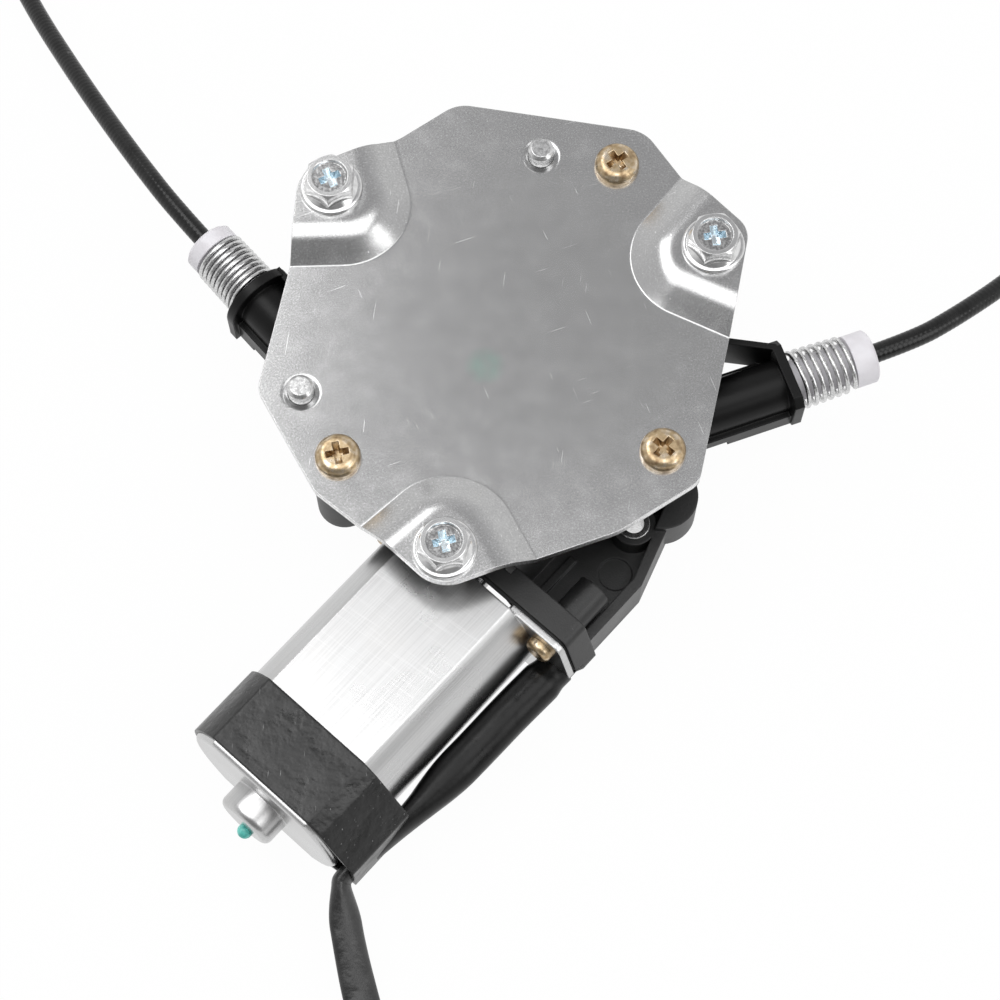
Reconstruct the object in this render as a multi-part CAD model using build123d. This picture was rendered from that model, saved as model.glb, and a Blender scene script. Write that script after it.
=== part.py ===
"""Drive unit of a cable window regulator: steel plate, drum, worm gear, motor, two sheathed cables, wiring.

Millimetres. The origin is on the drum's axis, in the plane that the unit lies on, with +Z up.
"""

from build123d import *
import os
from math import asin, atan2, cos, degrees, hypot, pi, radians, sin, sqrt, tan

# Heights above the plane that the unit lies on
wheel_low = 11.5
wheel_face = 10.0
cover_low = 23.2
cover_t = 1.2
split_z = 25.0
plate_low = 38.0
plate_t = 2.0
fit = 0.05
gap = 0.3

# Mounting plate and its three raised ears
ear_rise = 4.5
ear_run = 7.0
ear_corner = 27.5
ear_half_angle = 38.0
ear_corner_r = 15.0
ear_roll_r = 3.0
ear_bolts = [(-33.4, 35.0, 143.6), (51.4, 20.8, 12.8), (-7.5, -50.1, 260.0)]
pan_spots = [(30.6, 42.8), (-30.8, -27.6), (39.5, -26.2)]
pin_spots = [(13.5, 45.5), (-39.2, -12.3)]
dimple_r = 3.9
dimple_depth = 0.6

# Fasteners
bolt_r = 3.0
bolt_hole_r = 3.3
bolt_len = 10.0
bolt_flange_r = 7.0
bolt_flange_t = 1.1
bolt_across = 10.0
bolt_head = 6.0
nut_across = 9.0
nut_t = 4.0
pan_r = 5.0
pan_head = 3.0
pan_shank_r = 2.4
pan_hole_r = 2.7
pan_len = 26.0
pin_r = 2.9
pin_top_r = 2.2
pin_stand = 3.5
pin_len = 14.0

# Drum and its housing
cable_r = 0.75
drum_r = 28.0
drum_low = 25.4
drum_h = 10.3
groove_pitch = 1.8
groove_play = 0.12
rim_over = 0.4
cable_play = 0.15
wrap_turns = 1.3
left_rise = 5.0
left_height = drum_low + left_rise
nipple_r = 1.9
nipple_in = 0.9
nipple_out = 1.1
hub_r = 12.0
post_r = 4.0
drum_room = 1.55
housing_wall = 3.0
housing_top_t = 1.7
boss_r = 6.2
pin_boss_r = 5.0

# Cable outlets: direction, side of the drum, height, distance to the end flange, then spring and sleeve head
right_outlet = dict(angle=19.6, side=-1, z=28.3, step=46.0, face=63.0)
right_outlet |= dict(spring=14.3, coils=7.0, big=6.4, small=6.0, head=5.4, travel=4.5)
left_outlet = dict(angle=131.5, side=1, z=left_height - 0.1, step=38.0, face=44.9)
left_outlet |= dict(spring=13.5, coils=9.0, big=6.1, small=5.9, head=3.8, travel=3.0)
sleeve_r = 4.75
sleeve_head_r = 6.1
sleeve_shank = 8.0
spring_wire_r = 0.55
outlet_flange_t = 2.2
outlet_flange_w = 17.0
outlet_body_w = 14.6
outlet_low = 22.6
outlet_rise = 1.6
outlet_wall_top = 35.6
outlet_tunnel_r = 6.0
outlet_brace = [(6.3, right_outlet["face"] - 1.2), (20.6, right_outlet["face"] - 28.5)]
conduit_r = 2.25

# Worm gear
module = 1.0
wheel_teeth = 52
worm_pitch_r = 5.0
backlash = 0.22
pressure = 20.0
worm_half = 12.0
cup_wall = 4.0
cup_clear = 1.0
spoke_t = 2.4

# Motor, along its own axis: 0 is the point nearest the drum's axis, and minus runs to the closed end
motor_angle = 48.0
motor_z = 16.5
can_r = 20.5
can_flat = can_r - 5.0
can_wall = 1.5
can_open = -38.3
can_end = -104.4
flange_t = 1.5
flange_half_h = 14.0
flange_narrow = can_r + 7.0
flange_wide = can_r + 11.0
gasket_t = 0.8
housing_flange_t = 4.0
motor_screw_x = can_r + 2.3
motor_screw_y = 8.0
motor_screw_r = 2.0
motor_head_r = 3.1
boss_len = 6.3
boss_outer_r = 6.9
shaft_r = 3.0
bush_r = 5.0
core_r = can_r - 7.5
core_from = -92.0
core_to = -62.0
core_slots = 10
winding_over = 4.0
commutator_r = 6.5
commutator_from = -51.0
commutator_to = -42.5
magnet_from = -96.0
magnet_to = -58.0
tunnel_r = 9.5
worm_room = 0.6
shaft_tip = 17.0
ball_r = 1.5

# Band and wiring
band_from = -103.2
band_to = -85.8
band_t = 1.0
band_bulge = 4.3
tail_r = 3.3
sleeve_tube_r = 4.2
wire_x = -can_r - 5.9
wire_y = -2.5


def turned(point, angle):
    """A point turned about the origin by an angle in degrees."""
    c, s = cos(radians(angle)), sin(radians(angle))
    return Vector(point[0] * c - point[1] * s, point[0] * s + point[1] * c)


pitch_r = module * wheel_teeth / 2
cup_r = pitch_r + module + cup_clear
cup_outer = cup_r + cup_wall
centre_distance = pitch_r + worm_pitch_r
motor_way = Vector(cos(radians(motor_angle)), sin(radians(motor_angle)), 0)
drum_way = Vector(-sin(radians(motor_angle)), cos(radians(motor_angle)), 0)


def motor_plane(s):
    """Plane across the motor's axis: x points to the drum's axis, y up, the normal to the worm's tip."""
    return Plane(
        origin=motor_way * s - drum_way * centre_distance + Vector(0, 0, motor_z),
        x_dir=drum_way,
        z_dir=motor_way,
    )


def on_motor(section, start, end):
    """A flat section swept along the motor's axis from start to end."""
    return extrude(motor_plane(start) * section, amount=end - start, dir=motor_way)


def outlet_plane(o, s):
    """Plane across an outlet's axis: the normal points out of the housing, x to its far side, y up."""
    way = Vector(cos(radians(o["angle"])), sin(radians(o["angle"])), 0)
    far = Vector(-way.Y, way.X, 0)
    return Plane(origin=far * o["side"] * drum_r + way * s + Vector(0, 0, o["z"]), x_dir=far, z_dir=way)


def disc(radius, low, high, at=(0, 0)):
    """An upright cylinder between two heights."""
    return Pos(at[0], at[1], low) * extrude(Circle(radius), amount=high - low)


def plate_outline():
    """The stamped blank: straight edges between rounded corners, running round the three ears."""
    corners = [
        (-5.5, 58.6, 8), (37.0, 51.6, 8), (45.6, 39.1, 4), (59.6, 25.0, 6), (54.8, 0.8, 8),
        (47.3, -33.2, 5), (29.7, -44.6, 14), (12.5, -50.7, 4), (-9.0, -58.9, 9), (-24.7, -44.2, 6),
        (-35.7, -35.4, 5), (-48.8, -11.8, 5), (-42.4, 18.2, 8), (-40.7, 39.4, 9), (-23.5, 47.0, 7),
        (-18.0, 50.0, 4),
    ]
    lines = Polyline([(x, y) for x, y, _ in corners], close=True)
    face = make_face(lines)
    for x, y, radius in corners:
        corner = face.vertices().sort_by_distance((x, y, 0))[0]
        face = fillet(corner, radius)
    return face


def ear_wedge(bolt, inset):
    """The ear's outline in plan, open to the plate's edge, drawn in by inset."""
    x, y, angle = bolt
    reach = ear_corner - inset / sin(radians(ear_half_angle))
    far = 34.0
    half = (reach + far) * tan(radians(ear_half_angle))
    points = [(-reach, 0), (far, half), (far, -half)]
    face = make_face(Polyline(points, close=True))
    tip = face.vertices().sort_by(Axis.X)[0]
    face = fillet(tip, ear_corner_r - inset)
    return Pos(x, y, 0) * Rot(0, 0, angle) * face


def ear_form(bolt, low):
    """The solid under an ear's skin, from the crease at height low to the raised pad."""
    crease = Pos(0, 0, low) * ear_wedge(bolt, 0)
    pad = Pos(0, 0, low + ear_rise) * ear_wedge(bolt, ear_run)
    form = loft([crease, pad], ruled=True)
    top_edges = form.faces().sort_by(Axis.Z)[-1].edges()
    return fillet(top_edges, ear_roll_r)


def mounting_plate():
    """Stamped steel plate with three raised ears, screw holes and dimpled pin holes."""
    blank = plate_outline()
    plate = extrude(Pos(0, 0, plate_low) * blank, amount=plate_t)
    column = extrude(Pos(0, 0, plate_low - 5) * blank, amount=5 + plate_t + ear_rise + 1)
    raised = [ear_form(bolt, plate_low + plate_t) & column for bolt in ear_bolts]
    hollows = [ear_form(bolt, plate_low) for bolt in ear_bolts]
    for form in raised:
        plate += form
    for form in hollows:
        plate -= form
    top = plate_low + plate_t
    for x, y, _ in ear_bolts:
        plate -= disc(bolt_hole_r, plate_low, top + ear_rise + 1, (x, y))
    for spot in pan_spots:
        plate -= disc(pan_hole_r, plate_low - 1, top + 1, spot)
    for x, y in pin_spots:
        plate -= disc(pin_r + fit, plate_low - 1, top + 1, (x, y))
        dimple = Pos(x, y, top - dimple_depth / 2) * Cone(pin_r + fit, dimple_r, dimple_depth)
        plate -= dimple
    return plate


def cross_recess(width, depth, slot):
    """The tapered cross that a screwdriver fits, as a solid to cut, with its mouth at height 0."""
    arms = []
    for turn in (0, 90):
        mouth = Rot(0, 0, turn) * Rectangle(width, slot)
        floor = Pos(0, 0, -depth) * Rot(0, 0, turn) * Rectangle(width * 0.45, slot * 0.6)
        arms.append(loft([floor, mouth], ruled=True))
    return arms[0] + arms[1]


def ear_bolt():
    """Hex bolt with a flange, a dished top with a cross recess, and its shank, seated at height 0."""
    flange = disc(bolt_flange_r, 0, bolt_flange_t)
    flange = fillet(flange.edges().sort_by(Axis.Z)[-1], bolt_flange_t * 0.6)
    cone = Pos(0, 0, bolt_flange_t + 0.5) * Cone(bolt_flange_r - 1.0, bolt_across / 2, 1.0)
    hexagon = extrude(RegularPolygon(bolt_across / 2, 6, major_radius=False), amount=bolt_head)
    crown = Pos(0, 0, bolt_head / 2) * Cylinder(bolt_across * 0.6, bolt_head)
    crown = chamfer(crown.edges().sort_by(Axis.Z)[-1], 1.0)
    hexagon = hexagon & crown
    head = flange + cone + hexagon
    dish = Pos(0, 0, bolt_head - 0.35) * Cone(bolt_across * 0.36, bolt_across * 0.40, 0.7)
    head = head - dish
    head = head - Pos(0, 0, bolt_head - 0.7) * cross_recess(5.0, 2.2, 1.7)
    shank = disc(bolt_r, -bolt_len, 0)
    shank = chamfer(shank.edges().sort_by(Axis.Z)[0], 0.6)
    return head + shank


def ear_bolt_set():
    """One bolt in each ear."""
    seat = plate_low + plate_t + ear_rise
    turns = [26, 8, 14]
    bolts = [Pos(x, y, seat) * Rot(0, 0, t) * ear_bolt() for (x, y, _), t in zip(ear_bolts, turns)]
    return Compound(children=bolts)


def clinch_nut_set():
    """A flanged nut under each ear, which keeps the bolt on the plate."""
    under = plate_low + ear_rise
    nuts = []
    for x, y, angle in ear_bolts:
        body = extrude(RegularPolygon(nut_across / 2, 6, major_radius=False), amount=-nut_t)
        collar = extrude(Circle(nut_across * 0.62), amount=-1.0)
        nut = body + collar - Pos(0, 0, -nut_t - 1) * extrude(Circle(bolt_r + fit), amount=nut_t + 2)
        nuts.append(Pos(x, y, under) * Rot(0, 0, angle) * nut)
    return Compound(children=nuts)


def pan_screw():
    """Pan-head cross-recess screw, seated at height 0."""
    head = disc(pan_r, 0, pan_head)
    head = fillet(head.edges().sort_by(Axis.Z)[-1], pan_head * 0.7)
    head = head - Pos(0, 0, pan_head) * cross_recess(5.2, 2.0, 1.5)
    shank = disc(pan_shank_r, -pan_len, 0)
    shank = chamfer(shank.edges().sort_by(Axis.Z)[0], 0.8)
    return head + shank


def pan_screw_set():
    """Three screws that hold the plate and both housings together."""
    seat = plate_low + plate_t
    turns = [35, 12, 50]
    screws = [Pos(x, y, seat) * Rot(0, 0, t) * pan_screw() for (x, y), t in zip(pan_spots, turns)]
    return Compound(children=screws)


def locating_pin_set():
    """Two pins that stand through the plate's dimpled holes from bosses of the drum housing."""
    top = plate_low + plate_t + pin_stand
    pins = []
    for x, y in pin_spots:
        pin = disc(pin_r, top - pin_len, top, (x, y))
        pin = chamfer(pin.edges().sort_by(Axis.Z)[-1], pin_r - pin_top_r)
        pins.append(pin)
    return Compound(children=pins)


def outlet_solid(o, square):
    """Cable outlet of the drum housing: a body with a round tunnel on top, a side wall and an end flange."""
    root, face, far = 24.0, o["face"], -o["side"]
    wall_top = outlet_wall_top - o["z"]
    flange_low = outlet_low - o["z"]
    solid = None
    for start, end, bottom in ((root, o["step"], outlet_low + outlet_rise), (o["step"], face, outlet_low)):
        low = bottom - o["z"]
        shape = Pos(0, (low - 1.0) / 2) * Rectangle(outlet_body_w, -1.0 - low)
        shape += Circle(outlet_tunnel_r) & Pos(0, low + 10) * Rectangle(40, 20)
        if not square:
            shape += Pos(far * 6.6, (low + wall_top) / 2) * Rectangle(1.4, wall_top - low)
        piece = extrude(outlet_plane(o, start) * shape, amount=end - start)
        solid = piece if solid is None else solid + piece
    half = outlet_flange_w / 2
    if square:
        shape = Pos(0, (wall_top + flange_low) / 2) * Rectangle(outlet_flange_w, wall_top - flange_low)
        shape = chamfer(shape.vertices(), 2.0)
    else:
        shape = Circle(half) + Pos(0, flange_low / 2) * Rectangle(outlet_flange_w, -flange_low)
        shape = shape & Pos(0, (half + flange_low) / 2) * Rectangle(40, half - flange_low)
    return solid + extrude(outlet_plane(o, face) * shape, amount=-outlet_flange_t)


def outlet_bores(o):
    """What is cut from an outlet: the sleeve's bore and the cable's way in to the drum."""
    face = o["face"]
    bore_end = face - sleeve_shank - o["travel"] - 0.5
    bore = extrude(outlet_plane(o, bore_end) * Circle(sleeve_r + 0.15), amount=face + 1 - bore_end)
    way = extrude(outlet_plane(o, 0) * SlotOverall(6.6, 3.4, rotation=90), amount=bore_end + 1)
    return bore + way


def web_between(a, b, width, low, high):
    """An upright rib from one point to another."""
    length = hypot(b[0] - a[0], b[1] - a[1])
    angle = degrees(atan2(b[1] - a[1], b[0] - a[0]))
    rib = extrude(Rectangle(length, width), amount=high - low)
    return Pos((a[0] + b[0]) / 2, (a[1] + b[1]) / 2, low) * Rot(0, 0, angle) * rib


def drum_housing():
    """Black moulded housing round the drum, with screw and pin bosses and two cable outlets."""
    inner = drum_r + cable_r + drum_room
    outer = inner + housing_wall
    shell = disc(outer, split_z, plate_low)
    web_low = plate_low - housing_top_t
    for spot in pan_spots:
        shell += disc(boss_r, split_z, plate_low, spot)
        shell += web_between((0, 0), spot, 2 * boss_r - 1.0, web_low, plate_low)
        shell += web_between((0, 0), spot, 2.0, split_z + 2, plate_low)
    for spot in pin_spots:
        shell += disc(pin_boss_r, plate_low - 12, plate_low, spot)
        shell += web_between((0, 0), spot, 2 * pin_boss_r - 1.0, web_low, plate_low)
        shell += web_between((0, 0), spot, 2.0, split_z + 2, plate_low)
    shell += outlet_solid(right_outlet, True)
    brace = [outlet_plane(right_outlet, s).from_local_coords(Vector(x, 0, 0)) for x, s in outlet_brace]
    ends = [(p.X, p.Y) for p in brace]
    shell += web_between(*ends, 1.4, split_z, outlet_wall_top)
    shell += outlet_solid(left_outlet, False)
    shell -= disc(inner, outlet_low - 5, web_low) + disc(cup_outer + gap, outlet_low - 5, split_z)
    shell -= outlet_bores(right_outlet)
    shell -= outlet_bores(left_outlet)
    shell -= disc(post_r + fit, web_low - 1, plate_low + 1)
    for spot in pan_spots:
        shell -= disc(pan_hole_r, split_z - 1, plate_low + 1, spot)
    for x, y in pin_spots:
        shell -= disc(pin_r, plate_low + plate_t + pin_stand - pin_len, plate_low + 1, (x, y))
    return shell


def gear_flange_outline(grow):
    """The six-sided flange that the motor and the gear housing share, seen along the motor's axis."""
    narrow, wide, high = flange_narrow + grow, flange_wide + grow, flange_half_h + grow
    points = [(narrow, high), (-narrow, high), (-wide, 0), (-narrow, -high), (narrow, -high), (wide, 0)]
    face = make_face(Polyline(points, close=True))
    return fillet(face.vertices(), 2.5)


def wire_notch():
    """The notch in the flanges' edge where the wiring comes out."""
    r = sleeve_tube_r + 0.2
    return Pos(wire_x, wire_y) * (Circle(r) + Pos(-5, 0) * Rectangle(10, 2 * r))


def plan(n, a):
    """Plan position from distances along drum_way, measured from the drum's axis, and along motor_way."""
    p = drum_way * n + motor_way * a
    return (p.X, p.Y)


cup_floor = wheel_low - 0.5
gasket_end = can_open + gasket_t
flange_end = gasket_end + housing_flange_t
bush_spot = (33.9, -36.5)
tray_floor = 9.5
tray_t = 2.5
tray_top = 22.0
tray_level = motor_z
tray_lug = (40.3, -30.2)
ejector_spot = (29.9, -46.4)


def tray_outline(inset):
    """The side of the gear housing beyond the worm, in plan."""
    points = [
        plan(-60.3 + inset, flange_end - 1), plan(-60.3 + inset, -14.0),
        plan(-53.6 + inset, 7.0 - inset * 0.4), plan(-51.6 + inset, 17.0 - inset),
        plan(-45.5, 21.5 - inset), plan(-centre_distance, 21.5 - inset),
        plan(-centre_distance, flange_end - 1),
    ]
    return make_face(Polyline(points, close=True))


def gear_housing():
    """Black moulded worm gear housing: ribbed cup, worm tunnel, side tray and motor flange."""
    cup = disc(cup_outer, 0, split_z)
    hub_outer = 9.0
    skirt = 2.4
    pocket = disc(cup_outer - skirt, -1, cup_floor - 2.5) - disc(hub_outer, -2, cup_floor)
    for k in range(10):
        rib = extrude(Rectangle(cup_outer - hub_outer, 1.8), amount=10)
        pocket -= Rot(0, 0, motor_angle + 36 * k) * Pos((hub_outer + cup_outer) / 2, 0, 0.8) * rib
    cup -= pocket
    tunnel = on_motor(Circle(tunnel_r), flange_end - 1, shaft_tip + 6)
    tray = extrude(Pos(0, 0, tray_floor) * tray_outline(0), amount=tray_top - tray_floor)
    tray += disc(8.0, 13.0, tray_top + 1.6, tray_lug)
    room = extrude(Pos(0, 0, tray_level) * tray_outline(2.4), amount=tray_top)
    under = extrude(Pos(0, 0, tray_level - tray_t) * tray_outline(2.4), amount=-20)
    tray -= room + under
    flange = on_motor(gear_flange_outline(0), gasket_end, flange_end)
    ledge = Rectangle(flange_narrow - 4, flange_half_h + 2)
    ledge = Pos(-(flange_narrow + 8) / 2 - 2, flange_half_h / 2 - 1) * ledge
    ledge = on_motor(ledge & gear_flange_outline(0), flange_end - 0.5, flange_end + 2.0)
    body = cup + tray + tunnel + flange + ledge
    for sign in (1, -1):
        spot = Pos(-sign * motor_screw_x, sign * motor_screw_y)
        body += on_motor(spot * Circle(4.0), flange_end - 1, flange_end + 4.5 + 6.5 * (sign > 0))
    body += disc(5.0, tray_floor, tray_top, bush_spot)
    for spot in pan_spots:
        body += disc(boss_r, 12.0, split_z, spot)
        body += web_between((0, 0), spot, 2.4, 13.0, split_z - 1.5)
    for n, a, b in ((-44.0, -30.0, -18.0), (-49.0, -8.0, 6.0)):
        body += web_between(plan(n, a), plan(n, b), 1.8, tray_floor, tray_top - 5)
    body += web_between(plan(-40.0, -18.0), plan(-59.0, -18.0), 1.8, tray_floor, tray_level)
    above = Pos(0, 0, split_z + 10) * Box(90, 90, 20)
    body -= above & disc(cup_outer + 6, split_z, split_z + 20)
    low = outlet_low + outlet_rise - gap - right_outlet["z"]
    passing = Pos(0, low + 10) * Rectangle(outlet_flange_w + 1, 20)
    passing = extrude(outlet_plane(right_outlet, 15) * passing, amount=60)
    body -= passing - disc(cup_outer, 0, plate_low + 20)
    body -= disc(cup_r, cup_floor, split_z + 1) - disc(7.0, cup_floor - 1, wheel_low - fit)
    body -= disc(cup_r + 2.0, cover_low, split_z + 1)
    worm_clear = worm_pitch_r + module + worm_room
    body -= on_motor(Circle(worm_clear), -16.0, 13.5)
    body -= on_motor(Circle(bush_r + 1.0), -24.0, -15.0)
    body -= on_motor(Circle(shaft_r + 0.5), -32.0, -23.0)
    body -= on_motor(Circle(15.5) & Rectangle(40, 25), gasket_end - 1, -30.0)
    body -= on_motor(Circle(bush_r), 12.5, shaft_tip)
    body -= on_motor(Circle(ball_r + 0.1), shaft_tip - 1, shaft_tip + 2 * ball_r)
    for sign in (1, -1):
        spot = Pos(-sign * motor_screw_x, sign * motor_screw_y)
        body -= on_motor(spot * Circle(motor_screw_r - 0.2), gasket_end - 1, -29.5)
    body -= on_motor(wire_notch(), gasket_end - 1, gasket_end + 2.0)
    body -= disc(3.6, tray_floor - 1, tray_top + 1, bush_spot)
    body -= disc(3.75, tray_level - 0.4, tray_level + 1, ejector_spot)
    body -= disc(post_r, 2.0, cup_floor + 1)
    for spot in pan_spots:
        body -= disc(pan_shank_r, plate_low + plate_t - pan_len - 0.5, split_z + 1, spot)
    return body


def housing_bush():
    """Steel liner in the gear housing's fixing boss."""
    liner = disc(3.6, tray_floor, tray_top + 0.4, bush_spot)
    return liner - disc(2.3, tray_floor - 1, tray_top + 2, bush_spot)


def gear_cover():
    """Pressed steel disc that closes the wheel's chamber under the drum."""
    cover = disc(cup_r + 1.9, cover_low, cover_low + cover_t)
    cover -= disc(hub_r + 1.0, cover_low - 1, cover_low + cover_t + 1)
    return cover


def wheel_post():
    """Steel post, pressed into the gear housing's hub, that the wheel and the drum turn on."""
    post = disc(post_r, 2.0, plate_low - 0.1)
    return chamfer(post.edges().sort_by(Axis.Z)[-1], 0.4)


def thrust_washer():
    """Washer between the drum and the drum housing."""
    low = drum_low + drum_h + 0.1
    high = plate_low - housing_top_t - 0.1
    return disc(7.5, low, high) - disc(post_r + fit, low - 1, high + 1)


helix_angle = degrees(atan2(module, 2 * worm_pitch_r))


def worm_wheel():
    """Helical wheel: a toothed rim on a web, with spokes that the rubber damper sits between."""
    root_r = pitch_r - 1.25 * module
    tip_r = pitch_r + module
    half = pi * module / 4 - backlash / 2
    slope = tan(radians(pressure)) * module
    tooth = [(root_r - 0.3, half + 1.25 * slope), (tip_r, half - slope), (tip_r, slope - half)]
    tooth.append((root_r - 0.3, -half - 1.25 * slope))
    section = Circle(root_r)
    first = motor_angle - 90 + 180 / wheel_teeth
    for k in range(wheel_teeth):
        section += Rot(0, 0, first + 360 * k / wheel_teeth) * make_face(Polyline(tooth, close=True))
    section -= Circle(20.5)
    twist = degrees(wheel_face * tan(radians(helix_angle)) / pitch_r)
    face = Rot(0, 0, -twist / 2) * section
    rim = Solid.extrude_linear_with_rotation(face.face(), (0, 0, 0), (0, 0, wheel_face), twist)
    rim = Pos(0, 0, wheel_low) * rim
    web = disc(20.8, wheel_low, wheel_low + 2.0) + disc(7.5, wheel_low, wheel_low + wheel_face - 1.2)
    for k in range(3):
        spoke = Pos(13.8, 0, wheel_low) * extrude(Rectangle(14.6, spoke_t), amount=7.0)
        web += Rot(0, 0, 120 * k) * spoke
    web -= disc(post_r + fit, wheel_low - 1, wheel_low + wheel_face + 1)
    return rim + web


def sector(inner, outer, start, sweep, low, high):
    """A ring segment between two heights."""
    ring = Circle(outer) - Circle(inner)
    reach = 2 * outer
    a, b, m = (radians(start), radians(start + sweep), radians(start + sweep / 2))
    points = [(0, 0), (reach * cos(a), reach * sin(a)), (reach * cos(m), reach * sin(m))]
    points.append((reach * cos(b), reach * sin(b)))
    piece = ring & make_face(Polyline(points, close=True))
    return Pos(0, 0, low) * extrude(piece, amount=high - low)


def damper():
    """Rubber cushion: two lobes in each space between spokes, joined by a ring on top."""
    low = wheel_low + 2.1
    top = wheel_low + 7.2
    lobes = disc(19.9, top, top + 1.2) - disc(8.2, top - 1, top + 2)
    for k in range(3):
        lobes += sector(8.2, 19.9, 120 * k + 12, 35, low, top + 0.5)
        lobes += sector(8.2, 19.9, 120 * k + 73, 35, low, top + 0.5)
        lobes -= sector(9.0, 21.5, 120 * k + 52, 16, low - 1, top + 3)
    return lobes


def drive_plate():
    """Steel driver: three tabs down between the damper's lobes, three dogs up into the drum."""
    low = wheel_low + 8.6
    plate = disc(19.5, low, low + 1.3) - disc(post_r + 0.4, low - 1, low + 3)
    plate -= disc(7.7, low - 1, low + 0.5)
    for k in range(3):
        plate += sector(10.5, 19.0, 120 * k + 54, 12, wheel_low + 2.6, low + 0.5)
        plate += sector(6.0, 10.4, 120 * k + 54, 12, low + 1.0, drum_low + 1.5)
    return plate


def drum_helix(section, start, low, turns):
    """A section wound round the drum, rising anticlockwise from an angle in degrees and a height."""
    path = Helix(groove_pitch, groove_pitch * turns, drum_r)
    start_plane = Plane(origin=path @ 0, x_dir=(1, 0, 0), z_dir=path % 0)
    wound = sweep(start_plane * section, path=path, is_frenet=True)
    return Pos(0, 0, low) * Rot(0, 0, start) * wound


def tangent_angle(o):
    """Angle of the point where an outlet's cable meets the drum."""
    return o["angle"] + 90 * o["side"]


left_start = tangent_angle(left_outlet)
right_start = tangent_angle(right_outlet)
empty_turns = ((left_start - right_start) % 360) / 360
right_height = left_height - groove_pitch * empty_turns


def nipple_places():
    """Plan position and height of the cast end of each wrap: the left one on top, the right one below."""
    places = []
    for start, height, way in ((left_start, left_height, 1), (right_start, right_height, -1)):
        angle = radians(start + way * 360 * wrap_turns)
        r = drum_r - 0.9
        places.append((r * cos(angle), r * sin(angle), height + way * groove_pitch * wrap_turns, way))
    return places


def cable_drum():
    """Plastic drum with a helical groove, a hub for the driver and lightening pockets."""
    rim = drum_r + rim_over
    drum = disc(rim, drum_low, drum_low + drum_h) + disc(hub_r, drum_low - 3.2, drum_low + 1)
    drum = chamfer(drum.edges().filter_by(GeomType.CIRCLE).sort_by(Axis.Z)[-1], 0.5)
    for k in range(6):
        pocket = sector(hub_r + 2.0, drum_r - 4.5, 60 * k + 5, 50, drum_low + 2.0, drum_low + drum_h + 1)
        drum -= pocket
    drum -= disc(post_r + fit, drum_low - 5, drum_low + drum_h + 1)
    for k in range(3):
        drum -= sector(5.9, 10.6, 120 * k + 52.5, 15, drum_low - 5, drum_low + 1.8)
    turns = 2 * wrap_turns + empty_turns
    low = right_height - groove_pitch * wrap_turns
    drum -= drum_helix(Circle(cable_r + groove_play), right_start - 360 * wrap_turns, low, turns)
    for x, y, z, way in nipple_places():
        inner, outer = z - way * (nipple_in + fit), z + 6 * way
        drum -= disc(nipple_r + fit, min(inner, outer), max(inner, outer), (x, y))
    return drum


def cable_wraps():
    """The steel cable on the drum: one wound length for each outlet, with empty groove between them."""
    turns = wrap_turns - degrees((nipple_r + fit) / drum_r) / 360
    low = right_height - groove_pitch * turns
    left = drum_helix(Circle(cable_r), left_start, left_height, turns)
    right = drum_helix(Circle(cable_r), right_start - 360 * turns, low, turns)
    return Compound(children=[left, right])


def drum_nipples():
    """The cast ends that hold the two cables in the drum."""
    ends = []
    for x, y, z, way in nipple_places():
        inner, outer = z - way * nipple_in, z + way * nipple_out
        ends.append(disc(nipple_r, min(inner, outer), max(inner, outer), (x, y)))
    return Compound(children=ends)


def inner_cable(o, height):
    """Straight run of steel cable from the drum to the end of the sleeve."""
    clear = sqrt((drum_r + 2 * cable_r + cable_play) ** 2 - drum_r**2)
    start = outlet_plane(o, clear).origin + Vector(0, 0, height - o["z"])
    end = outlet_plane(o, o["face"] - sleeve_shank - 0.2).origin
    line = Line(start, end)
    return sweep(Plane(origin=start, z_dir=end - start) * Circle(cable_r), path=line)


def end_sleeve(o):
    """White plastic sleeve: shank in the spring and the outlet, head outside, bore for the conduit."""
    start = o["face"] - sleeve_shank
    neck = o["face"] + o["spring"]
    shank = extrude(outlet_plane(o, start) * Circle(sleeve_r), amount=neck - start)
    head = extrude(outlet_plane(o, neck) * Circle(sleeve_head_r), amount=o["head"])
    end = outlet_plane(o, neck + o["head"]).origin
    head = chamfer(head.edges().filter_by(GeomType.CIRCLE).sort_by_distance(end)[0], 0.5)
    sleeve = shank + head
    sleeve -= extrude(outlet_plane(o, start - 1) * Circle(cable_r + 0.4), amount=neck - start + 2)
    sleeve -= extrude(outlet_plane(o, neck - 4.0) * Circle(conduit_r), amount=o["head"] + 5)
    return sleeve


def sleeve_spring(o):
    """Compression spring between the outlet's flange and the sleeve's head, a little wider at the flange."""
    wire = spring_wire_r
    length = o["spring"] - 2 * wire - 0.2
    cone = degrees(atan2(o["big"] - o["small"], length))
    pitch = length / o["coils"]
    path = Helix(pitch, length, o["big"] - wire, cone_angle=-cone)
    section = Plane(origin=path @ 0, z_dir=path % 0) * Circle(wire)
    coil = sweep(section, path=path, is_frenet=True)
    return outlet_plane(o, o["face"] + wire + 0.1).location * coil


def cord_tube(points, radius, name):
    """A cord's tube: straight runs joined by tangent arcs, each as large as its two runs allow."""
    vectors = [Vector(*p) for p in points]
    radii = []
    for before, at, after in zip(vectors, vectors[1:], vectors[2:]):
        turn = (at - before).get_angle(after - at)
        run = min((at - before).length, (after - at).length)
        radii.append(0.45 * run / tan(radians(turn / 2)))
    print(name, "radii", [round(r, 1) for r in radii])
    path = FilletPolyline(*vectors, radius=radii)
    tube = sweep(Plane(origin=path @ 0, z_dir=path % 0) * Circle(radius), path=path)
    ratio = tube.volume / (pi * radius**2 * path.length)
    print(name, "length", round(path.length, 1), "volume ratio", round(ratio, 4))
    return tube, path


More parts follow.
